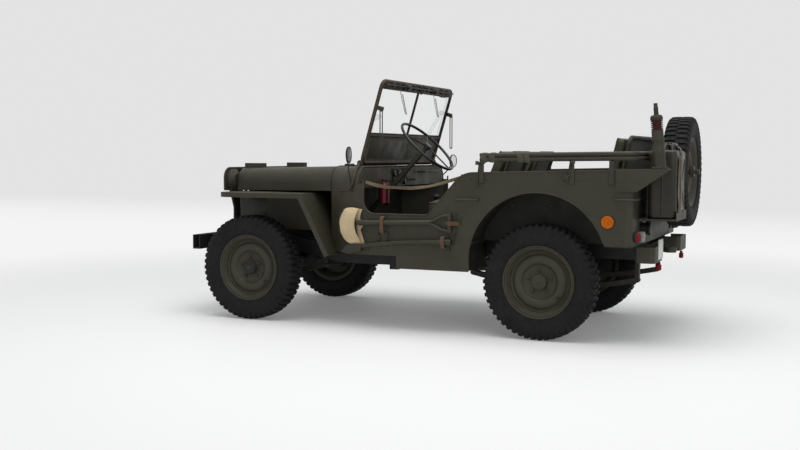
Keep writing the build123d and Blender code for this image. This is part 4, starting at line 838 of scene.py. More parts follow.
def seat_sheets():
    """Canvas stretched across the hoops behind the back pads, sagging a little in the middle."""
    for name, body, middle, along, length, width, _ in SEATS[1::2]:
        up = Vector(along)
        behind = Vector((-up.z, 0, up.x)) * SHEET_GAP
        long, wide = length - SHEET_LESS_LONG, width - SHEET_LESS_WIDE
        rows = []
        for share in spread(-0.5, 0.5, 13):
            row = []
            for side in spread(-0.5, 0.5, 25):
                sag = SHEET_SAG * cos(pi * side) * cos(pi * share)
                spot = Vector(middle) + up * share * long + behind * (1 + sag / SHEET_GAP)
                row.append((spot.x, spot.y + side * wide, spot.z))
            rows.append(row)
        kit = Kit()
        kit.grid(rows)
        sheet = kit.piece(name.replace("pad", "sheet"), CANVAS_DARK, body, sharp=60)


def seats():
    """Six cushions and the sheets behind three of them."""
    pads = {row[0]: cushion(*row) for row in SEATS}
    seat_sheets()
    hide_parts("seat_cushions")
    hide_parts("passenger_seat_cushions")


# Tools on the left side
TOOL_Y = 0.772
SIDE_FACE = 0.7485
COVER_EDGE = [
    # x, z, from the mouth's lower end round the front of the blade to the mouth's upper end
    (0.275, 0.552), (0.311, 0.545), (0.347, 0.550), (0.374, 0.563), (0.400, 0.587), (0.417, 0.613),
    (0.428, 0.645), (0.431, 0.677), (0.428, 0.710), (0.417, 0.741), (0.402, 0.764), (0.381, 0.779),
    (0.350, 0.784), (0.318, 0.782), (0.289, 0.776),
]
COVER_MOUTH = [
    # x, z, from the mouth's upper end to its lower end
    (0.289, 0.776), (0.301, 0.745), (0.308, 0.705), (0.309, 0.667), (0.301, 0.630), (0.289, 0.600),
    (0.275, 0.552),
]
COVER_FLAP = [
    # x, z, the free edge of the longer back, from its lower end to its upper end
    (0.255, 0.556), (0.262, 0.585), (0.275, 0.625), (0.283, 0.645), (0.266, 0.662), (0.262, 0.677),
    (0.266, 0.692), (0.284, 0.708), (0.283, 0.735), (0.276, 0.760), (0.268, 0.774),
]
COVER_BACK = 0.756
COVER_FRONT = 0.797
COVER_SIDE = 0.012
COVER_STEPS = 9
BLADE = [(0.285, 0.566, 0), (0.320, 0.775, 0), (0.420, 0.765, 0), (0.424, 0.600, 0)]
GRIP_X = -0.330
GRIP_Z = 0.702
GRIP_PRONG = [
    # x, distance from the shaft's middle beyond the prong's foot
    (-0.185, 0), (-0.212, 0), (-0.248, 0.018), (-0.285, 0.038), (GRIP_X, 0.042),
]
AXE_HANDLE = [
    # x, z, radius, from the head to the knob
    (0.300, 0.535, 0.013), (0.18, 0.553, 0.014), (0.05, 0.568, 0.0145), (-0.10, 0.577, 0.0150),
    (-0.24, 0.581, 0.0175), (-0.320, 0.583, 0.0225), (-0.342, 0.583, 0.0205),
]
AXE_HEAD = [
    # x, z
    (0.270, 0.553), (0.300, 0.556), (0.340, 0.553), (0.372, 0.540), (0.404, 0.506), (0.400, 0.497),
    (0.345, 0.486), (0.322, 0.506), (0.290, 0.509), (0.268, 0.506),
]
FOOTMAN_LOOPS = [
    # x, z of the middle
    (-0.362, 0.655), (-0.362, 0.735), (-0.395, 0.72), (-0.325, 0.56), (-0.352, 0.60),
    (0.152, 0.60), (0.09, 0.60),
]


def shovel_cover():
    """A canvas pouch over the shovel's blade: a bulging front and a longer back, open at the shaft."""
    edge = [Vector((x, 0, z)) for x, z in COVER_EDGE]
    count = len(edge)
    mouth = rounded([(x, 0, z) for x, z in COVER_MOUTH], 0.02, 2)
    starts = resampled(mouth[::-1], count)
    rows = []
    for step in range(COVER_STEPS + 3):
        share = min(1, step / COVER_STEPS)
        row = []
        for index in range(count):
            spot = starts[index].lerp(edge[index], share)
            ends = min(1, 3.2 * min(index, count - 1 - index) / (count - 1))
            rise = (1 - share ** 2.6) * ends
            crease = 0.0022 * sin(index * 2.3 + 3 * share) * share * ends
            bulge = (COVER_FRONT - COVER_BACK - COVER_SIDE) * max(0, rise) ** 0.55
            depth = COVER_BACK + COVER_SIDE + bulge + crease
            if step > COVER_STEPS:
                depth = COVER_BACK + COVER_SIDE - 0.006 * (step - COVER_STEPS)
            row.append((spot.x, depth, spot.z))
        rows.append(row)
    back = [Vector((x + 0.004, COVER_BACK, z)) for x, z in COVER_EDGE]
    flap = []
    for index, spot in enumerate(resampled([(x, 0, z) for x, z in COVER_FLAP], count)):
        flap.append(Vector((spot.x, COVER_BACK + 0.006 * sin(pi * index / (count - 1)), spot.z)))
    kit = Kit()
    kit.grid(rows)
    kit.grid([back, [(low + high) / 2 for low, high in zip(back, flap)], flap])
    cloth = sum(face.calc_area() for face in kit.bm.faces)
    cover = kit.piece("shovel_cover", BEIGE, sharp=70)
    smooth(cover, 2)
    hem = Kit()
    hem.tube(rows[0], 0.0028, 6)
    hem.tube(flap, 0.0024, 6)
    hem.piece("shovel_cover_hem", BEIGE)


def shovel():
    """A round-bladed shovel with a D-shaped grip, and an axe below it."""
    y = TOOL_Y
    kit = Kit()
    blade = [(spot.x, spot.y) for spot in rounded(BLADE, 0.05, 5, True)]
    kit.plate(blade, -0.003, 0.003, side_plane(y + 0.004))
    kit.tube([(0.33, y, 0.689), (0.27, y, 0.688), (0.22, y, 0.690)], [0.010, 0.0175, 0.0175], 16)
    kit.tube([(0.225, y, 0.690), (0.0, y, 0.696), (-0.205, y, GRIP_Z)], 0.0158, 16)
    for sign in (1, -1):
        z = GRIP_Z + sign * 0.007
        prong = [(x, y, z + sign * out) for x, out in GRIP_PRONG]
        kit.tube(rounded(prong, 0.03), 0.0075, 12, flat=1.2)
        kit.knob((GRIP_X, y + 0.004, z + sign * GRIP_PRONG[-1][1]), (0, 1, 0), 0.011, 0.009, 14)
    kit.rod((GRIP_X, y, 0.654), (GRIP_X, y, 0.748), 0.0125)
    kit.piece("shovel_tool", PAINT, replaces=("shovel",))
    axe = Kit()
    path = rounded([(x, y, z) for x, z, _ in AXE_HANDLE], 0.05, 4)
    stations, radii = [-x for x, _, _ in AXE_HANDLE], [radius for _, _, radius in AXE_HANDLE]
    sizes = np.interp([-spot.x for spot in path], stations, radii)
    axe.tube(path, [float(size) for size in sizes], 16, flat=0.8)
    axe.plate(AXE_HEAD, -0.013, 0.013, side_plane(y), 0.004)
    axe.piece("axe_tool", PAINT_WORN, replaces=("axe",))


def tool_holders():
    """Straps, loops and brackets that hold the tools."""
    straps = Kit()
    grip = [(-0.300, 0.7535), (-0.318, TOOL_Y), (-0.330, 0.789), (-0.350, 0.784), (-0.395, 0.7545)]
    straps.strap(rounded([(x, y, 0.700) for x, y in grip], 0.012), 0.026, 0.003, (0, 0, 1))
    shaft = [(0.7535, 0.625), (0.785, 0.628), (0.7905, 0.655)]
    shaft += [(0.7905, 0.710), (0.785, 0.728), (0.7535, 0.731)]
    straps.strap(rounded([(0.12, y, z) for y, z in shaft], 0.012), 0.024, 0.003, (1, 0, 0))
    handle = [(0.752, 0.545), (0.785, 0.548), (0.7955, 0.575)]
    handle += [(0.7955, 0.592), (0.785, 0.617), (0.752, 0.620)]
    straps.strap(rounded([(-0.290, y, z) for y, z in handle], 0.012), 0.026, 0.003, (1, 0, 0))
    straps.piece("tool_straps", LEATHER)
    loops = Kit()
    for x, z in FOOTMAN_LOOPS:
        hoop = [(x, y, z + rise) for y, rise in corners((SIDE_FACE, -0.022), (0.7655, 0.022))]
        loops.tube(rounded(hoop, 0.012), 0.0034, 8)
        for end in (-0.028, 0.028):
            loops.knob((x, 0.7488, z + end), (0, 1, 0), 0.0055, 0.0035, 10)
    for x in (-0.312, -0.268):
        loops.box((x - 0.007, SIDE_FACE, 0.535), (x + 0.007, 0.757, 0.63), 0.002)
    for x in (0.240, 0.285):
        loops.box((x - 0.012, SIDE_FACE, 0.515), (x + 0.012, 0.7575, 0.560), 0.002)
    loops.piece("footman_loops", PAINT_WORN)


def doorway_strap():
    """Worn webbing that hangs across the driver's doorway."""
    y = 0.7395
    route = [
        # x, distance inward from y, z
        (0.262, 0.004, 0.950), (0.20, 0.006, 0.930), (0.12, 0.004, 0.916), (0.06, 0.006, 0.914),
        (-0.06, 0.004, 0.911), (-0.12, 0.006, 0.917), (-0.19, 0.002, 0.926), (-0.30, 0, 0.954),
        (-0.40, 0, 0.986),
    ]
    path = rounded([(x, y - inward, z) for x, inward, z in route], 0.05, 5)
    lean = [Vector((0.05 * sin(19 * spot.x), 0.75 * sin(13 * spot.x + 1), 1)) for spot in path]
    kit = Kit()
    kit.strap(path, 0.022, 0.004, lean)
    kit.piece("doorway_strap", WEBBING, replaces=("safety_strap",))
    hooks = Kit()
    for x, z in ((0.264, 0.951), (-0.402, 0.987)):
        hooks.box((x - 0.010, y - 0.009, z - 0.014), (x + 0.010, y + 0.003, z + 0.014), 0.002)
        hooks.knob((x, y - 0.008, z), (0, -1, 0), 0.007, 0.005, 12)
    hooks.piece("doorway_strap_hooks", IRON)


# Body
RIM_Y = 0.746
RIVET_Y = 0.7487
BODY_EDGE = [
    # x, z along the tub's rim from the cowl to the rear corner, radius of the bend there
    (0.2655, 0.960, 0), (0.2655, 0.745, 0.080), (-0.178, 0.745, 0.045), (-0.405, 1.010, 0.150),
    (-0.483, 1.011, 0.05), (-1.386, 1.033, 0),
]
WHEEL_ARCH_X = -0.872
WHEEL_ARCH_Z = 0.470
WHEEL_ARCH_RADIUS = 0.428
TUB_RIVETS = [
    # x, z
    (-1.125, 0.972), (-1.165, 0.972), (-1.36, 1.005), (-1.36, 0.93), (0.285, 0.80), (0.285, 0.88),
    (0.285, 0.70), (-0.30, 0.79), (-0.46, 0.975), (-0.56, 0.975), (-1.33, 0.62),
]


def rim_path(side):
    """The rolled edge of a body side, with a true arc at each bend."""
    path = []
    places = [Vector((x, side * RIM_Y, z)) for x, z, _ in BODY_EDGE]
    for index, corner in enumerate(places):
        bend = BODY_EDGE[index][2]
        if not bend:
            path.append(corner)
            continue
        before, after = places[index - 1] - corner, places[index + 1] - corner
        angle = before.angle(after)
        reach = bend / tan(angle / 2)
        start, end = corner + before.normalized() * reach, corner + after.normalized() * reach
        middle = corner + (before.normalized() + after.normalized()).normalized() * bend / sin(angle / 2)
        for step in range(9):
            spot = start.lerp(end, step / 8) - middle
            path.append(middle + spot.normalized() * bend)
    return path


def body_edges():
    """Rolled rims of the tub and its wheel arches, with rivets and bolts."""
    rims = Kit()
    for side in (1, -1):
        rims.tube(rim_path(side), 0.0058, 10)
    rims.tube([(-1.443, y, 1.0335) for y in (-0.69, 0, 0.69)], 0.0055, 10)
    turns = spread(-0.14, pi - 0.325, 40)
    for side in (1, -1):
        arch = []
        for turn in turns:
            x, z = WHEEL_ARCH_X + WHEEL_ARCH_RADIUS * cos(turn), WHEEL_ARCH_Z + WHEEL_ARCH_RADIUS * sin(turn)
            arch.append((x, side * 0.7475, z))
        rims.tube(arch, 0.0042, 8)
    rims.piece("tub_rims", PAINT)
    heads = Kit()
    for side in (1, -1):
        out = (0, side, 0)
        for x, z in TUB_RIVETS:
            heads.knob((x, side * RIVET_Y, z), out, 0.0062, 0.0036, 12, RIVET_DOME)
        for x in (-0.66, -0.905):
            spot, _ = surface_at("wheel_boxes", (x, side * 0.735, 0.81), (0, -side, 0))
            heads.knob(spot - Vector(out) * 0.001, out, 0.010, 0.007, 6)
    heads.piece("tub_rivets", PAINT_WORN)


def box_flanges():
    """Flanges that close the slot between each rear wheel box and the floor."""
    kit = Kit()
    for side in (1, -1):
        low, high = sorted((side * 0.514, side * 0.742))
        for back, front, foot in ((-1.318, -1.276, 0.588), (-0.468, -0.424, 0.580)):
            kit.box((back, low, foot), (front, high, 0.5955), 0.002)
            for y in (0.56, 0.63, 0.70):
                kit.knob(((back + front) / 2, side * y, 0.595), (0, 0, 1), 0.006, 0.004, 6)
    # The flanges take olive darkened to a painted shade, like the wheel boxes
    kit.piece("wheel_box_flanges", SHADE_DARKENED_OLIVE)


# Engine
HEAD_TOP = 0.953
SPARK_PLUGS = [(x, -0.030, HEAD_TOP) for x in (0.82, 0.92, 1.03, 1.13)]
DISTRIBUTOR = (0.900, -0.162)
DISTRIBUTOR_CAP = [(0, 0), (0, 0.034), (0.020, 0.034), (0.032, 0.026), (0.036, 0)]
CARBURETTOR = (1.045, -0.160)
AIR_CLEANER = (0.655, -0.290)
GENERATOR = (0.205, 0.780)
FAN_Z = 0.800
FAN_BLADES = 4


def ignition(iron, black, bright):
    """A distributor with its leads to the plugs in the head."""
    x, y = DISTRIBUTOR
    top = Vector((x, y, 0.905))
    iron.box((0.880, -0.180, 0.760), (0.920, -0.126, 0.800), 0.004)
    black.rod((x, y, 0.795), (x, y, 0.870), 0.024, 24)
    black.lathe(DISTRIBUTOR_CAP, frame_along((x, y, 0.868), UP), 28)
    for index, spot in enumerate(SPARK_PLUGS):
        plug_x, plug_y, _ = spot
        bright.knob(spot, UP, 0.010, 0.012, 6)
        bright.rod(spot, (plug_x, plug_y, 0.982), 0.005, 10)
        rise = Vector(spot).lerp(top, 0.5) + Vector((0, -0.01, 0.050))
        lead = [(plug_x, plug_y, 0.976), (plug_x, plug_y - 0.012, 0.990), (rise.x, rise.y, 0.982)]
        lead.append(top - Vector((0.012 * index - 0.018, 0, 0.003)))
        black.tube(rounded(lead, 0.02, 5), 0.004, 8)


def intake(iron, black):
    """The manifold with its carburettor, and an air cleaner on the bulkhead with its pipe."""
    x, y = CARBURETTOR
    iron.tube([(0.78, y, 0.720), (1.16, y, 0.720)], 0.026, 16)
    for branch in (0.80, 0.97, 1.14):
        iron.tube([(branch, -0.124, 0.735), (branch, -0.165, 0.722)], 0.022, 14)
    iron.rod((x, y, 0.735), (x, y, 0.850), 0.030, 24)
    iron.box((1.010, -0.195, 0.775), (1.080, -0.125, 0.815), 0.006)
    clean_x, clean_y = AIR_CLEANER
    black.rod((clean_x, clean_y, 0.640), (clean_x, clean_y, 0.880), 0.064, 40, 0.008)
    black.rod((clean_x, clean_y, 0.875), (clean_x, clean_y, 0.905), 0.040, 28, 0.006)
    black.box((0.574, -0.320, 0.740), (0.620, -0.260, 0.770), 0.003)
    pipe = [(clean_x, clean_y, 0.890), (0.740, clean_y, 0.895), (x, -0.250, 0.895)]
    pipe += [(x, y, 0.893), (x, y, 0.845)]
    black.tube(rounded(pipe, 0.05, 6), 0.022, 16)


def cooling(iron, black):
    """A generator beside the block, the fan on its hub and the hose to the radiator."""
    y, z = GENERATOR
    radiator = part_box("radiator")[0][0]
    plane = (1.25 + radiator) / 2
    black.rod((1.030, y, z), (1.215, y, z), 0.056, 36, 0.006)
    iron.box((1.070, 0.126, 0.730), (1.180, 0.180, 0.765), 0.005)
    iron.rod((1.246, 0, FAN_Z), (plane, 0, FAN_Z), 0.036, 32)
    iron.rod((1.210, y, z), (1.246, y, z), 0.030, 28)
    spot = Vector((plane - 0.008, 0, FAN_Z))
    for blade in range(FAN_BLADES):
        turn = radians(45 + 90 * blade)
        out, side = Vector((0, cos(turn), sin(turn))), Vector((0.22, -sin(turn), cos(turn)))
        iron.strap([spot + out * reach for reach in (0.02, 0.07, 0.12, 0.165)], 0.066, 0.003, side)
    hose = [(1.190, 0, 0.940), (1.205, 0, 0.978), (1.270, 0, 0.978), (radiator + 0.002, 0, 0.935)]
    black.tube(rounded(hose, 0.03, 6), 0.021, 18)


def engine_bay():
    """Head, ignition, intake and cooling, seen when the hood is up."""
    iron, black, bright = Kit(), Kit(), Kit()
    iron.box((0.735, -0.100, 0.926), (1.215, 0.100, 0.954), 0.006)
    for x in spread(0.76, 1.19, 6):
        for y in (-0.085, 0.085):
            iron.knob((x, y, HEAD_TOP), UP, 0.010, 0.010, 6)
    ignition(iron, black, bright)
    intake(iron, black)
    cooling(iron, black)
    iron.piece("engine_fittings", IRON)
    black.piece("engine_black_parts", BLACK)
    bright.piece("spark_plugs", STEEL)


# Front and windscreen
APRON = [(1.18, 0.600), (1.30, 0.600), (1.400, 0.640), (1.409, 0.860), (1.18, 0.860)]
HOOD_SEAM_X = 0.580
HOOD_HINGE_X = 0.555
WINDSCREEN_LEAN = radians(16.2)
WINDSCREEN = Matrix.Translation((0.3405, 0, 1.068)) @ Matrix((
    (0, -sin(WINDSCREEN_LEAN), cos(WINDSCREEN_LEAN)),
    (1, 0, 0),
    (0, cos(WINDSCREEN_LEAN), sin(WINDSCREEN_LEAN)),
)).to_4x4()
SCREEN_HALF = 0.619
SCREEN_TOP = 0.547
SCREEN_FOOT = 0.001
SCREEN_BAR = 0.185
GLASS_LOW = 0.199
GLASS_HIGH = 0.500
HEADER_BACK = -0.0105


def front_aprons():
    """Splash panels that close the gap between each fender's apron and the grille."""
    kit = Kit()
    for side in (1, -1):
        kit.plate(APRON, -0.0032, 0.0032, side_plane(side * 0.387), 0.0008)
        for z in (0.68, 0.80):
            kit.knob((1.385, side * 0.3902, z), (0, side, 0), 0.006, 0.004, 6)
    kit.piece("front_splash_panels", PAINT_DARK)


def arch_section(node, x):
    """The outline of a body panel where it crosses x, read from its solid, left to right."""
    spots = {}
    for vert in NODES[node].data.vertices:
        if abs(vert.co.x - x) < 0.0015:
            spots[round(vert.co.y, 3)] = max(vert.co.z, spots.get(round(vert.co.y, 3), 0))
    return [Vector((x, y, z)) for y, z in sorted(spots.items())]


def hood_fittings():
    """The dark strip between hood and cowl, and the rivets of the hood's hinge."""
    seam = [spot for spot in arch_section("cowl", HOOD_SEAM_X) if spot.z > 0.86]
    strip = Kit()
    strip.tube([spot + Vector((0.0016, 0, 0.0005)) for spot in seam], 0.0042, 8)
    strip.piece("hood_seam_strip", BLACK)
    hinge = Kit()
    for y in (-0.30, 0.0, 0.30):
        for shift in (-0.022, 0.022):
            seat, facing = surface_at("cowl", (HOOD_HINGE_X, y + shift, 1.2), (0, 0, -1))
            hinge.knob(seat - facing * 0.0006, facing, 0.0062, 0.0035, 12, RIVET_DOME)
    hinge.piece("hood_hinge_rivets", PAINT)


def on_screen(across, up, ahead=0.0):
    """A place in the windscreen's leaning plane."""
    return WINDSCREEN @ Vector((across, up, ahead))


def off_screen(ahead):
    """A step straight ahead of the windscreen's plane."""
    return on_screen(0, 0, ahead) - on_screen(0, 0, 0)


def screen_frame():
    """Tube frame, header, lower sheet, sill flap and the panes' seals."""
    tubes, panel = Kit(), Kit()
    back = off_screen(-1)
    ends = [(-SCREEN_HALF, SCREEN_FOOT), (-SCREEN_HALF, SCREEN_TOP)]
    ends += [(SCREEN_HALF, SCREEN_TOP), (SCREEN_HALF, SCREEN_FOOT)]
    tubes.tube(rounded([on_screen(*end) for end in ends], 0.05, 8, True), 0.0128, 14, loop=True)
    tubes.tube([on_screen(-SCREEN_HALF, SCREEN_BAR), on_screen(SCREEN_HALF, SCREEN_BAR)], 0.0105, 12)
    tubes.tube([on_screen(0, SCREEN_BAR), on_screen(0, SCREEN_TOP)], 0.0105, 12)
    panel.plate(corners((-0.612, 0.006), (0.612, 0.186)), -0.002, 0.002, WINDSCREEN, 0)
    for sign in (1, -1):
        panel.plate(corners((sign * 0.06, 0.03), (sign * 0.56, 0.155)), -0.0032, 0.0032, WINDSCREEN, 0.002)
    tubes.box((-0.606, 0.500, -0.0105), (0.606, 0.543, 0.0105), 0.003, WINDSCREEN)
    for across in spread(-0.57, 0.57, 9):
        tubes.knob(on_screen(across, 0.512, -0.0100), back, 0.0055, 0.003, 10, RIVET_DOME)
        panel.knob(on_screen(across, 0.174, -0.0018), back, 0.005, 0.003, 10, RIVET_DOME)
    for sign in (1, -1):
        gusset = [(sign * 0.585, 0.004), (sign * 0.631, 0.004), (sign * 0.631, 0.07), (sign * 0.606, 0.105)]
        tubes.plate(gusset, -0.0105, -0.0065, WINDSCREEN, 0.001)
    tubes.piece("windscreen_tubes", RUSTY, "windscreen", ("windscreen_frame",))
    panel.piece("windscreen_panel", PAINT, "windscreen")
    flap = Kit()
    flap.box((-0.598, -0.0212, -0.004), (0.598, -0.004, 0.004), 0.0015, WINDSCREEN)
    flap.piece("windscreen_sill_flap", RUBBER, "windscreen")
    seals = Kit()
    for sign in (1, -1):
        pane = corners((sign * 0.013, GLASS_LOW), (sign * 0.603, GLASS_HIGH))
        seals.tube(rounded([on_screen(*corner) for corner in pane], 0.012, 4, True), 0.0052, 8, loop=True)
    seals.piece("windscreen_seals", BLACK, "windscreen")


def screen_gear():
    """Wiper motors, their linking bar, hand wheel, clips and hose along the header."""
    gear = Kit()
    back = off_screen(-1)
    for across in (-0.30, 0.19):
        gear.box((across, 0.506, -0.030), (across + 0.11, 0.546, HEADER_BACK), 0.006, WINDSCREEN)
    for across in (-0.245, 0.245):
        gear.knob(on_screen(across, 0.526, -0.028), back, 0.019, 0.010, 24)
        gear.knob(on_screen(across, 0.526, -0.037), back, 0.006, 0.010, 12)
        gear.tube([on_screen(across, 0.526, -0.044), on_screen(across + 0.05, 0.505, -0.044)], 0.0038, 8)
    gear.tube([on_screen(across, 0.530, -0.022) for across in (-0.60, -0.3, 0.0, 0.3, 0.60)], 0.0062, 10)
    for radius, thick in ((0.030, 0.0038), (0.014, 0.0032)):
        wheel = [on_screen(across, 0.527 + up, -0.024) for across, up in ring(40, radius)]
        gear.tube(wheel, thick, 8, loop=True)
    gear.knob(on_screen(0, 0.527, -0.012), back, 0.011, 0.016, 16)
    for across in (-0.5, -0.40, -0.12, 0.12, 0.38, 0.48):
        gear.box((across - 0.014, 0.514, -0.024), (across + 0.014, 0.544, HEADER_BACK), 0.003, WINDSCREEN)
        gear.knob(on_screen(across, 0.529, -0.0235), back, 0.006, 0.005, 6)
    hose = [
        # across, up, ahead
        (-0.30, 0.512, -0.02), (-0.36, 0.495, -0.024), (-0.46, 0.497, -0.024), (-0.57, 0.51, -0.02),
        (-0.598, 0.48, -0.018), (-0.600, 0.2, -0.018), (-0.600, 0.06, -0.018),
    ]
    gear.tube(rounded([on_screen(*spot) for spot in hose], 0.03, 6), 0.0034, 8)
    gear.piece("windscreen_header_gear", BLACK, "windscreen")


def screen_wipers():
    """Two wipers that hang from the header, each an arm with its blade."""
    wipers = Kit()
    rise, drop = off_screen(0.004), off_screen(-0.009)
    for across, tip_across in ((0.30, 0.085), (-0.30, -0.515)):
        pivot, tip = on_screen(across, 0.531, 0.023), on_screen(tip_across, 0.341, 0.020)
        wipers.tube([on_screen(across, 0.531, 0.010), on_screen(across, 0.531, 0.029)], 0.0085, 14)
        wipers.tube([pivot, pivot.lerp(tip, 0.5) + rise, tip], 0.0026, 8)
        start = pivot.lerp(tip, 0.30)
        wipers.strap([start + drop, start.lerp(tip, 0.5) + drop, tip + drop], 0.009, 0.0045, drop)
        wipers.knob(pivot + rise, off_screen(1), 0.006, 0.004, 6)
    wipers.piece("wipers", BLACK, "windscreen", ("windscreen_fittings",))


def screen_arms():
    """Slotted adjusting arms that hang beside the frame."""
    arms = Kit()
    hinge = on_screen(0, 0.372, -0.043)
    outline = slot_outline(hinge.x, hinge.z - 0.239, hinge.z, 0.0108)
    slot = slot_outline(hinge.x, hinge.z - 0.236, hinge.z - 0.022, 0.0052)
    for sign in (1, -1):
        inner, outer = sorted((sign * 0.606, sign * 0.626))
        arms.box((inner, 0.358, -0.053), (outer, 0.386, -0.008), 0.003, WINDSCREEN)
        rows = []
        for y, shape in ((0.6262, outline), (0.6262, slot), (0.6305, slot), (0.6305, outline)):
            rows.append([(x, sign * y, z) for x, z in shape])
        arms.grid(rows, around=True, along=True)
        arms.knob((hinge.x, sign * 0.630, hinge.z), (0, sign, 0), 0.0095, 0.005, 16)
        arms.knob((hinge.x, sign * 0.6345, hinge.z), (0, sign, 0), 0.006, 0.005, 6)
    arms.piece("windscreen_arms", PAINT_WORN, "windscreen")


def screen_clamps():
    """Clamp rods from the windscreen's foot down to the cowl, with a thin stay to a bolt."""
    clamps = Kit()
    for sign in (1, -1):
        rod_path = [(0.340, sign * 0.650, 1.062), (0.345, sign * 0.690, 1.020), (0.347, sign * 0.722, 0.965)]
        seat, facing = surface_at("cowl", (0.350, sign, 0.925), (0, -sign, 0))
        foot = seat + facing * 0.008
        clamps.tube(rounded(rod_path + [foot], 0.05, 6), 0.0095, 10)
        bolt, out = surface_at("cowl", (0.481, sign, 0.883), (0, -sign, 0))
        clamps.tube(rounded([foot, (0.385, sign * 0.712, 0.893), bolt + out * 0.003], 0.04, 5), 0.0038, 8)
        clamps.knob((0.345, sign * 0.660, 1.047), (0, sign, 0), 0.011, 0.010, 16)
        clamps.knob(bolt - out * 0.001, out, 0.009, 0.007, 6)
    clamps.piece("windscreen_clamp_rods", RUSTY)


# Mirrors and dash
MIRRORS = [
    # side, middle of the glass, start of the line that finds the foot on the cowl, bend of the bar, radius
    (1, (0.395, 0.700, 1.118), (0.360, 1, 0.895), (0.384, 0.716, 1.010), 0.053),
    (-1, (0.215, -0.722, 1.073), (0.325, -1, 0.940), (0.262, -0.758, 1.010), 0.048),
]
DIALS = [
    # y, z, radius
    (0.10, 0.985, 0.040), (0.19, 1.0, 0.026), (0.19, 0.94, 0.026), (0.01, 1.0, 0.026), (0.01, 0.94, 0.026),
]
DIAL_SWEEP = 260
DIAL_MARKS = 9
NEEDLE_TURN = radians(-70)
SWITCH_Z = 0.945


def mirrors():
    """Round driving mirrors: a rim with its glass on a bent bar, one each side of the cowl."""
    bars, rims, faces = Kit(), Kit(), Kit()
    for side, eye, sight, bend, size in MIRRORS:
        seat, facing = surface_at("cowl", sight, (0, -side, 0))
        foot = seat + facing * 0.003
        bars.tube(rounded([foot, bend, (eye[0] + 0.008, eye[1], eye[2] - 0.02), eye], 0.06, 6), 0.0046, 10)
        bars.knob(seat - facing * 0.001, facing, 0.016, 0.006, 16)
        place = frame_along(eye, (-0.98, -0.17 * side, 0))
        rim = [(-0.008, 0), (-0.007, size * 0.7), (-0.003, size), (0.006, size + 0.0015), (0.0085, size)]
        rim += [(0.0085, size - 0.004), (0.006, size - 0.005)]
        rims.lathe(rim, place, 48)
        faces.lathe([(0.0062, size - 0.0045), (0.0072, size * 0.5), (0.0076, 0)], place, 48)
    bars.piece("mirror_bars", BLACK, replaces=("driving_mirror",))
    rims.piece("mirror_rims", BLACK)
    faces.piece("mirror_faces", MIRROR)


def dashboard():
    """Dials, switches and a grab bar on the dash."""
    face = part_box("dash_panel")[0][0]
    bezels, dials, marks = Kit(), Kit(), Kit()
    for y, z, size in DIALS:
        place = frame_along((face, y, z), BACKWARD)
        bezel = [(0, size + 0.004), (0.006, size + 0.003), (0.009, size)]
        bezel += [(0.006, size - 0.003), (0.003, size - 0.004)]
        bezels.lathe(bezel, place, 36)
        dials.lathe([(0.0028, size - 0.003), (0.003, 0)], place, 36)
        for index in range(DIAL_MARKS):
            turn = radians(-DIAL_SWEEP / 2 + DIAL_SWEEP * index / (DIAL_MARKS - 1))
            ends = (size * 0.66, size * 0.84)
            marks.tube([place @ Vector((0.0034, sin(turn) * r, cos(turn) * r)) for r in ends], 0.0008, 5)
        tip = Vector((0.004, sin(NEEDLE_TURN) * size * 0.6, cos(NEEDLE_TURN) * size * 0.6))
        marks.tube([place @ Vector((0.004, 0, 0)), place @ tip], 0.001, 5)
    for y in (0.29, 0.34, 0.39, -0.08, -0.13):
        bezels.knob((face, y, SWITCH_Z), BACKWARD, 0.009, 0.005, 16)
        bezels.knob((face - 0.005, y, SWITCH_Z), BACKWARD, 0.005, 0.016, 12)
    grip = [(face, -0.20, 1.0), (face - 0.045, -0.22, 1.0), (face - 0.045, -0.52, 1.0), (face, -0.54, 1.0)]
    bezels.tube(rounded(grip, 0.03, 6), 0.008, 12)
    bezels.piece("dash_bezels", BLACK)
    dials.piece("dash_dials", BAKELITE)
    marks.piece("dash_marks", PLATE)


# Fuel can
CAN_FRONT = -1.495
CAN_DEPTH = 0.165
CAN_X = CAN_FRONT - CAN_DEPTH / 2
CAN_Y = 0.412
CAN_WIDTH = 0.345
CAN_LOW = 0.750
CAN_TOP = 1.150
CAN_LEVELS = [
    # height, how far the wall is drawn in there
    (CAN_LOW, 0.020), (CAN_LOW + 0.004, 0.008), (CAN_LOW + 0.016, 0.001), (CAN_LOW + 0.030, 0),
    (CAN_LOW + 0.034, 0.002), (CAN_LOW + 0.038, 0), (CAN_TOP - 0.040, 0), (CAN_TOP - 0.018, 0.001),
    (CAN_TOP - 0.005, 0.008), (CAN_TOP, 0.022),
]
CAN_CAP = [
    # along, radius
    (0, 0.031), (0.010, 0.028), (0.016, 0.028), (0.018, 0.031), (0.034, 0.031), (0.038, 0.026), (0.0385, 0),
]


def can_shell(kit):
    """The can's wall, drawn in at its foot and shoulder."""
    half_depth, half_width = CAN_DEPTH / 2, CAN_WIDTH / 2
    ends = corners((CAN_X - half_depth, CAN_Y - half_width), (CAN_X + half_depth, CAN_Y + half_width))
    outline = rounded([(x, y, 0) for x, y in ends], 0.034, 7, True)
    rows = []
    for level, inset in CAN_LEVELS:
        row = []
        for spot in outline:
            inward = Vector((CAN_X - spot.x, CAN_Y - spot.y, 0))
            inward = Vector([max(-1, min(1, part / 0.05)) for part in inward])
            row.append((spot.x + inward.x * inset, spot.y + inward.y * inset, level))
        rows.append(row)
    kit.grid(rows, around=True, caps=True)


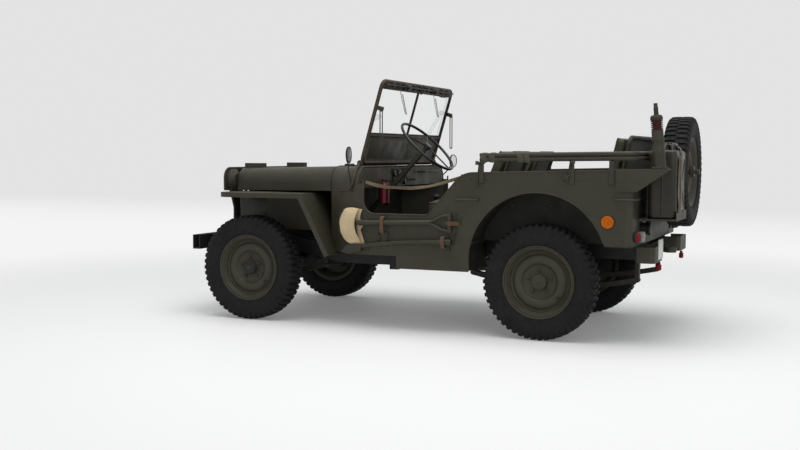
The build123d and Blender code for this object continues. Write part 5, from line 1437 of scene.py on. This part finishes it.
def can_belts():
    """A webbing belt over the can, and a leather one down its back."""
    back = CAN_FRONT - CAN_DEPTH - 0.0035
    y = CAN_Y + 0.02
    route = [
        # x, z, from the front over the top to the back's foot
        (CAN_FRONT + 0.006, CAN_LOW + 0.23), (CAN_FRONT - 0.004, CAN_TOP + 0.004),
        (CAN_X + 0.03, CAN_TOP + 0.046), (CAN_X - 0.03, CAN_TOP + 0.046), (back, CAN_TOP + 0.004),
        (back - 0.001, CAN_LOW + 0.2), (back, CAN_LOW + 0.012),
    ]
    belt = Kit()
    belt.strap(rounded([(x, y, z) for x, z in route], 0.02, 5), 0.034, 0.0035, (0, 1, 0))
    belt.piece("fuel_can_belt", WEBBING)
    side_belt = Kit()
    edge = CAN_Y + CAN_WIDTH / 2
    hang = [(back - 0.0045, edge - 0.055, CAN_LOW + 0.37), (back - 0.007, edge - 0.052, CAN_LOW + 0.2)]
    hang.append((back - 0.0045, edge - 0.058, CAN_LOW + 0.03))
    side_belt.strap(hang, 0.030, 0.003, (0, 1, 0))
    side_belt.piece("fuel_can_side_belt", LEATHER)


def fuel_can():
    """A pressed can in two halves with a weld seam, a raised cross on each face, three grips and a cap."""
    kit = Kit()
    can_shell(kit)
    for sign in (1, -1):
        seam_y = CAN_Y + sign * (CAN_WIDTH / 2 - 0.001)
        kit.tube([(CAN_X, seam_y, z) for z in (CAN_LOW + 0.02, CAN_TOP - 0.015)], 0.0042, 8)
    for face in (CAN_X - CAN_DEPTH / 2 + 0.0008, CAN_X + CAN_DEPTH / 2 - 0.0008):
        for sign in (1, -1):
            ends = [(face, CAN_Y - sign * 0.11, CAN_LOW + 0.06), (face, CAN_Y + sign * 0.11, CAN_TOP - 0.06)]
            kit.tube(ends, 0.0052, 8)
        border = corners((CAN_Y - 0.125, CAN_LOW + 0.045), (CAN_Y + 0.125, CAN_TOP - 0.045))
        kit.tube(rounded([(face, y, z) for y, z in border], 0.03, 5, True), 0.0042, 8, loop=True)
    for bar in (CAN_X - 0.042, CAN_X, CAN_X + 0.042):
        grip = [(-0.092, -0.006), (-0.070, 0.036), (0.070, 0.036), (0.092, -0.006)]
        kit.tube(rounded([(bar, CAN_Y + y, CAN_TOP + z) for y, z in grip], 0.022, 6), 0.0082, 12)
    neck = Vector((CAN_X, CAN_Y - CAN_WIDTH / 2 + 0.042, CAN_TOP - 0.006))
    kit.lathe(CAN_CAP, frame_along(neck, (0, -0.3, 1)), 32)
    lever = (CAN_X + 0.012, neck.y + 0.045, CAN_TOP + 0.031)
    kit.box((CAN_X - 0.012, neck.y - 0.02, CAN_TOP + 0.024), lever, 0.002)
    kit.piece("fuel_can_pressed", PAINT_DARK, replaces=("fuel_can",))
    can_belts()


# Antenna base
ANTENNA_FOOT = Vector((-1.585, 0.700, 1.048))
ANTENNA_UP = Vector((sin(radians(5)), 0, cos(radians(5))))
ANTENNA_PLATE_Z = 1.0432
ANTENNA_SLEEVE = [
    # along, radius
    (0, 0), (0, 0.036), (0.004, 0.038), (0.014, 0.0345), (0.020, 0.0355), (0.080, 0.0350), (0.083, 0.036),
    (0.108, 0.036), (0.111, 0.0345), (0.150, 0.0340), (0.153, 0.0355), (0.170, 0.0355), (0.173, 0.0340),
    (0.214, 0.0335), (0.218, 0.030), (0.218, 0),
]
ANTENNA_CAP = [
    # along, radius
    (0.272, 0), (0.272, 0.033), (0.276, 0.0355), (0.290, 0.0355), (0.294, 0.032), (0.300, 0.031),
    (0.304, 0.014), (0.330, 0.0125), (0.333, 0.0135), (0.345, 0.0135), (0.348, 0.0115), (0.368, 0.0115),
    (0.370, 0.0105), (0.370, 0),
]
ANTENNA_RIB = [
    # along, radius
    (0, 0.0235), (0.002, 0.033), (0.005, 0.0350), (0.008, 0.033), (0.0100, 0.0235),
]
ANTENNA_RIBS = 5
RIB_START = 0.217
RIB_PITCH = 0.0112


def antenna():
    """A leaning mast base: flange, sleeve, brown insulating ribs, cap and the mast's clamp."""
    place = frame_along(ANTENNA_FOOT, ANTENNA_UP)
    sleeve = Kit()
    sleeve.lathe(ANTENNA_SLEEVE, place, 40)
    sleeve.lathe(ANTENNA_CAP, place, 36)
    sleeve.tube([place @ Vector((0.338, 0.004, 0)), place @ Vector((0.338, 0.026, 0))], 0.0042, 8)
    sleeve.knob(place @ Vector((0.338, 0.0245, 0)), place.to_3x3() @ Vector((0, 1, 0)), 0.0075, 0.006, 6)
    foot = Matrix.Translation((ANTENNA_FOOT.x, ANTENNA_FOOT.y, ANTENNA_PLATE_Z))
    outline = rounded([(x, y, 0) for x, y in corners((-0.045, -0.045), (0.045, 0.045))], 0.02, 5, True)
    sleeve.plate([(spot.x, spot.y) for spot in outline], 0, 0.007, foot, 0.0015)
    for x in (-0.034, 0.034):
        for y in (-0.034, 0.034):
            sleeve.knob(foot @ Vector((x, y, 0.0065)), UP, 0.0068, 0.006, 6)
    sleeve.piece("antenna_sleeve", PAINT_WORN, replaces=("antenna_base",))
    ribs = Kit()
    profile = [(0.215, 0.020)]
    for index in range(ANTENNA_RIBS):
        profile += [(RIB_START + index * RIB_PITCH + along, radius) for along, radius in ANTENNA_RIB]
    ribs.lathe(profile + [(0.274, 0.020)], place, 40)
    ribs.piece("antenna_ribs", BROWN_RED)


# Lamps, each turned from an outline of (along, radius)
LAMP_Z = 0.644
LAMP_BODY = [(0, 0), (0, 0.026), (0.004, 0.0295), (0.012, 0.030), (0.015, 0.0285), (0.015, 0.026)]
LAMP_LENS = [(0.013, 0.0275), (0.026, 0.0268), (0.034, 0.023), (0.0385, 0.014), (0.0398, 0)]
GREY_LAMP_Y = 0.604
GREY_LAMP = [
    (0, 0), (0, 0.026), (0.010, 0.030), (0.030, 0.032), (0.042, 0.032), (0.0455, 0.029), (0.0455, 0.010),
    (0.043, 0.008), (0.043, 0),
]
SOCKET_Y = 0.470
SOCKET_Z = 0.684
SOCKET = [
    (0, 0), (0, 0.042), (0.006, 0.042), (0.008, 0.036), (0.040, 0.035), (0.044, 0.040), (0.054, 0.040),
    (0.059, 0.034), (0.060, 0),
]
SMALL_BODY = [(0, 0), (0, 0.022), (0.007, 0.022), (0.0095, 0.0195), (0.0070, 0.019)]
SMALL_LENS = [(0.0065, 0.019), (0.009, 0.012), (0.0095, 0)]
REFLECTOR_BODY = [(0, 0), (0, 0.041), (0.004, 0.041), (0.0055, 0.0385), (0.004, 0.0375)]
REFLECTOR = [
    (0.0035, 0.0385), (0.0075, 0.036), (0.0092, 0.028), (0.0085, 0.0265), (0.0096, 0.015), (0.0098, 0),
]
REFLECTOR_X = -1.300
REFLECTOR_Z = 0.733
LOW_LAMP_X = -1.541


def on_back(y, z):
    """Points a lamp's axis backwards from the tub's rear panel."""
    return frame_along((BODY_REAR_X, y, z), BACKWARD)


def rear_lamps():
    """Lamp bodies with rims and lenses, the trailer socket and reflectors."""
    bodies, reds, oranges, greys = Kit(), Kit(), Kit(), Kit()
    for y in (0.676, -0.676):
        bodies.lathe(LAMP_BODY, on_back(y, LAMP_Z), 36)
        reds.lathe(LAMP_LENS, on_back(y, LAMP_Z), 36)
    greys.lathe(GREY_LAMP, on_back(GREY_LAMP_Y, LAMP_Z), 36)
    greys.knob((-1.482, GREY_LAMP_Y, 0.658), BACKWARD, 0.006, 0.004, 6)
    bodies.lathe(SOCKET, on_back(SOCKET_Y, SOCKET_Z), 36)
    bodies.box((-1.5, 0.455, 0.718), (-1.470, 0.485, 0.732), 0.003)
    for turn in (0.8, 2.35, 3.9, 5.5):
        screw = (-1.447, SOCKET_Y + 0.039 * cos(turn), SOCKET_Z + 0.039 * sin(turn))
        bodies.knob(screw, BACKWARD, 0.004, 0.003, 8)
    for y in (0.540, -0.540):
        bodies.lathe(SMALL_BODY, on_back(y, LAMP_Z), 32)
        reds.lathe(SMALL_LENS, on_back(y, LAMP_Z), 32)
    for side in (1, -1):
        place = frame_along((REFLECTOR_X, side * BODY_Y, REFLECTOR_Z), (0, side, 0))
        bodies.lathe(REFLECTOR_BODY, place, 48)
        oranges.lathe(REFLECTOR, place, 48)
    for y in (0.420, -0.420):
        bodies.rod((LOW_LAMP_X, y, 0.481), (LOW_LAMP_X, y, 0.468), 0.009)
        reds.rod((LOW_LAMP_X, y, 0.470), (LOW_LAMP_X, y, 0.432), 0.015, edge=0.006)
    bodies.piece("lamp_bodies", BLACK, replaces=("tail_lamps",))
    greys.piece("grey_lamp", GREY)
    reds.piece("red_lenses", RED)
    oranges.piece("side_reflectors", ORANGE, replaces=("reflectors",))


def bare_plate():
    """A plate with a raised border and two rivets, and nothing on it."""
    low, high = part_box("licence_plate")
    plate = Kit()
    plate.box(low, high, 0.0008)
    face, margin = low[0] - 0.0004, 0.006
    border = corners((low[1] + margin, low[2] + margin), (high[1] - margin, high[2] - margin))
    plate.tube(rounded([(face, y, z) for y, z in border], 0.008, 4, True), 0.0014, 6, loop=True)
    for y in (low[1] + 0.025, high[1] - 0.025):
        plate.knob((low[0], y, high[2] - 0.02), BACKWARD, 0.005, 0.003, 12, RIVET_DOME)
    plate.piece("bare_plate", PLATE, replaces=("licence_plate",))


# Folded top bows
BOW_Y = 0.745
BOW_WRAPS = [
    # x, z
    (-0.545, 1.104), (-0.60, 1.105), (-0.775, 1.107), (-0.815, 1.107),
]
WRAP_EDGES = [
    # shift along x, swell
    (-0.018, -0.001), (-0.015, 0.0012), (0, 0.002), (0.015, 0.0012), (0.018, -0.001),
]
PIVOT_X = -1.053
PIVOT_Z = 0.987
BOW_HOOK = [
    # x, y, z on the left side
    (-0.500, 0.7525, 0.935), (-0.508, 0.7525, 1.0), (-0.515, 0.7525, 1.055), (-0.512, 0.7505, 1.078),
    (-0.490, 0.7485, 1.078),
]
BOW_STRAP = [(-1.060, 0.752, 0.965), (-1.075, 0.7545, 1.02), (-1.083, 0.7545, 1.07)]


def bow_wraps():
    """Bands of canvas round the folded bows."""
    wraps = Kit()
    for side in (1, -1):
        for x, z in BOW_WRAPS:
            hoop = []
            for turn in spread(0, 1.9 * pi, 20):
                y = side * BOW_Y + 0.0155 * cos(turn)
                hoop.append((x + 0.004 * sin(3 * turn), y, z + 0.029 * sin(turn)))
            rows = []
            for shift, swell in WRAP_EDGES:
                swells = [swell if spot[2] > z else -swell for spot in hoop]
                rows.append([Vector(spot) + Vector((shift, 0, out)) for spot, out in zip(hoop, swells)])
            wraps.grid(rows, around=True)
    wraps.piece("bow_wraps", CANVAS)


def bow_fittings():
    """Pivot knobs, straps and hooked rods of the folded bows."""
    knobs = Kit()
    for side in (1, -1):
        out = (0, side, 0)
        knobs.knob((PIVOT_X, side * 0.7488, PIVOT_Z), out, 0.022, 0.006, 24)
        knobs.knob((PIVOT_X, side * 0.754, PIVOT_Z), out, 0.014, 0.014, 18)
        wing = [(PIVOT_X - 0.026, PIVOT_Z + 0.016), (PIVOT_X + 0.026, PIVOT_Z - 0.016)]
        knobs.tube([(x, side * 0.762, z) for x, z in wing], 0.0055, 8)
        knobs.strap([(x, side * y, z) for x, y, z in BOW_STRAP], 0.022, 0.005, (1, 0, 0))
        knobs.tube(rounded([(x, side * y, z) for x, y, z in BOW_HOOK], 0.015, 5), 0.0058, 10)
        knobs.knob((-0.500, side * 0.7488, 0.935), out, 0.011, 0.008, 6)
        low, high = sorted((side * 0.7483, side * 0.757))
        knobs.box((-0.528, low, 1.06), (-0.49, high, 1.072), 0.002)
    knobs.piece("bow_knobs", PAINT_WORN)


# Headlamps
def headlamp_lenses():
    """Rims and lenses over the lamps behind the grille."""
    rims, lenses = Kit(), Kit()
    low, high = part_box("headlamps")
    radius = (high[2] - low[2]) / 2
    rim = [(-0.012, radius), (-0.002, radius), (0.000, radius - 0.003)]
    rim += [(-0.001, radius - 0.010), (-0.004, radius - 0.012)]
    lens_shape = [(-0.006, radius - 0.010), (-0.003, radius * 0.75), (-0.001, radius * 0.4), (-0.0005, 0)]
    for side in (1, -1):
        at = (high[0], side * (high[1] - radius), (low[2] + high[2]) / 2)
        place = frame_along(at, (1, 0, 0))
        rims.lathe(rim, place, 48)
        lenses.lathe(lens_shape, place, 48)
    rims.piece("headlamp_rims", STEEL)
    lenses.piece("headlamp_lenses", LAMP_GLASS)


def scene_pieces():
    """Builds every piece of the looks."""
    wheels()
    seats()
    shovel_cover()
    shovel()
    tool_holders()
    doorway_strap()
    body_edges()
    box_flanges()
    engine_bay()
    front_aprons()
    hood_fittings()
    screen_frame()
    screen_gear()
    screen_wipers()
    screen_arms()
    screen_clamps()
    mirrors()
    dashboard()
    fuel_can()
    antenna()
    rear_lamps()
    bare_plate()
    bow_wraps()
    bow_fittings()
    headlamp_lenses()


look_at_car()
studio()
dress_solids()
scene_pieces()
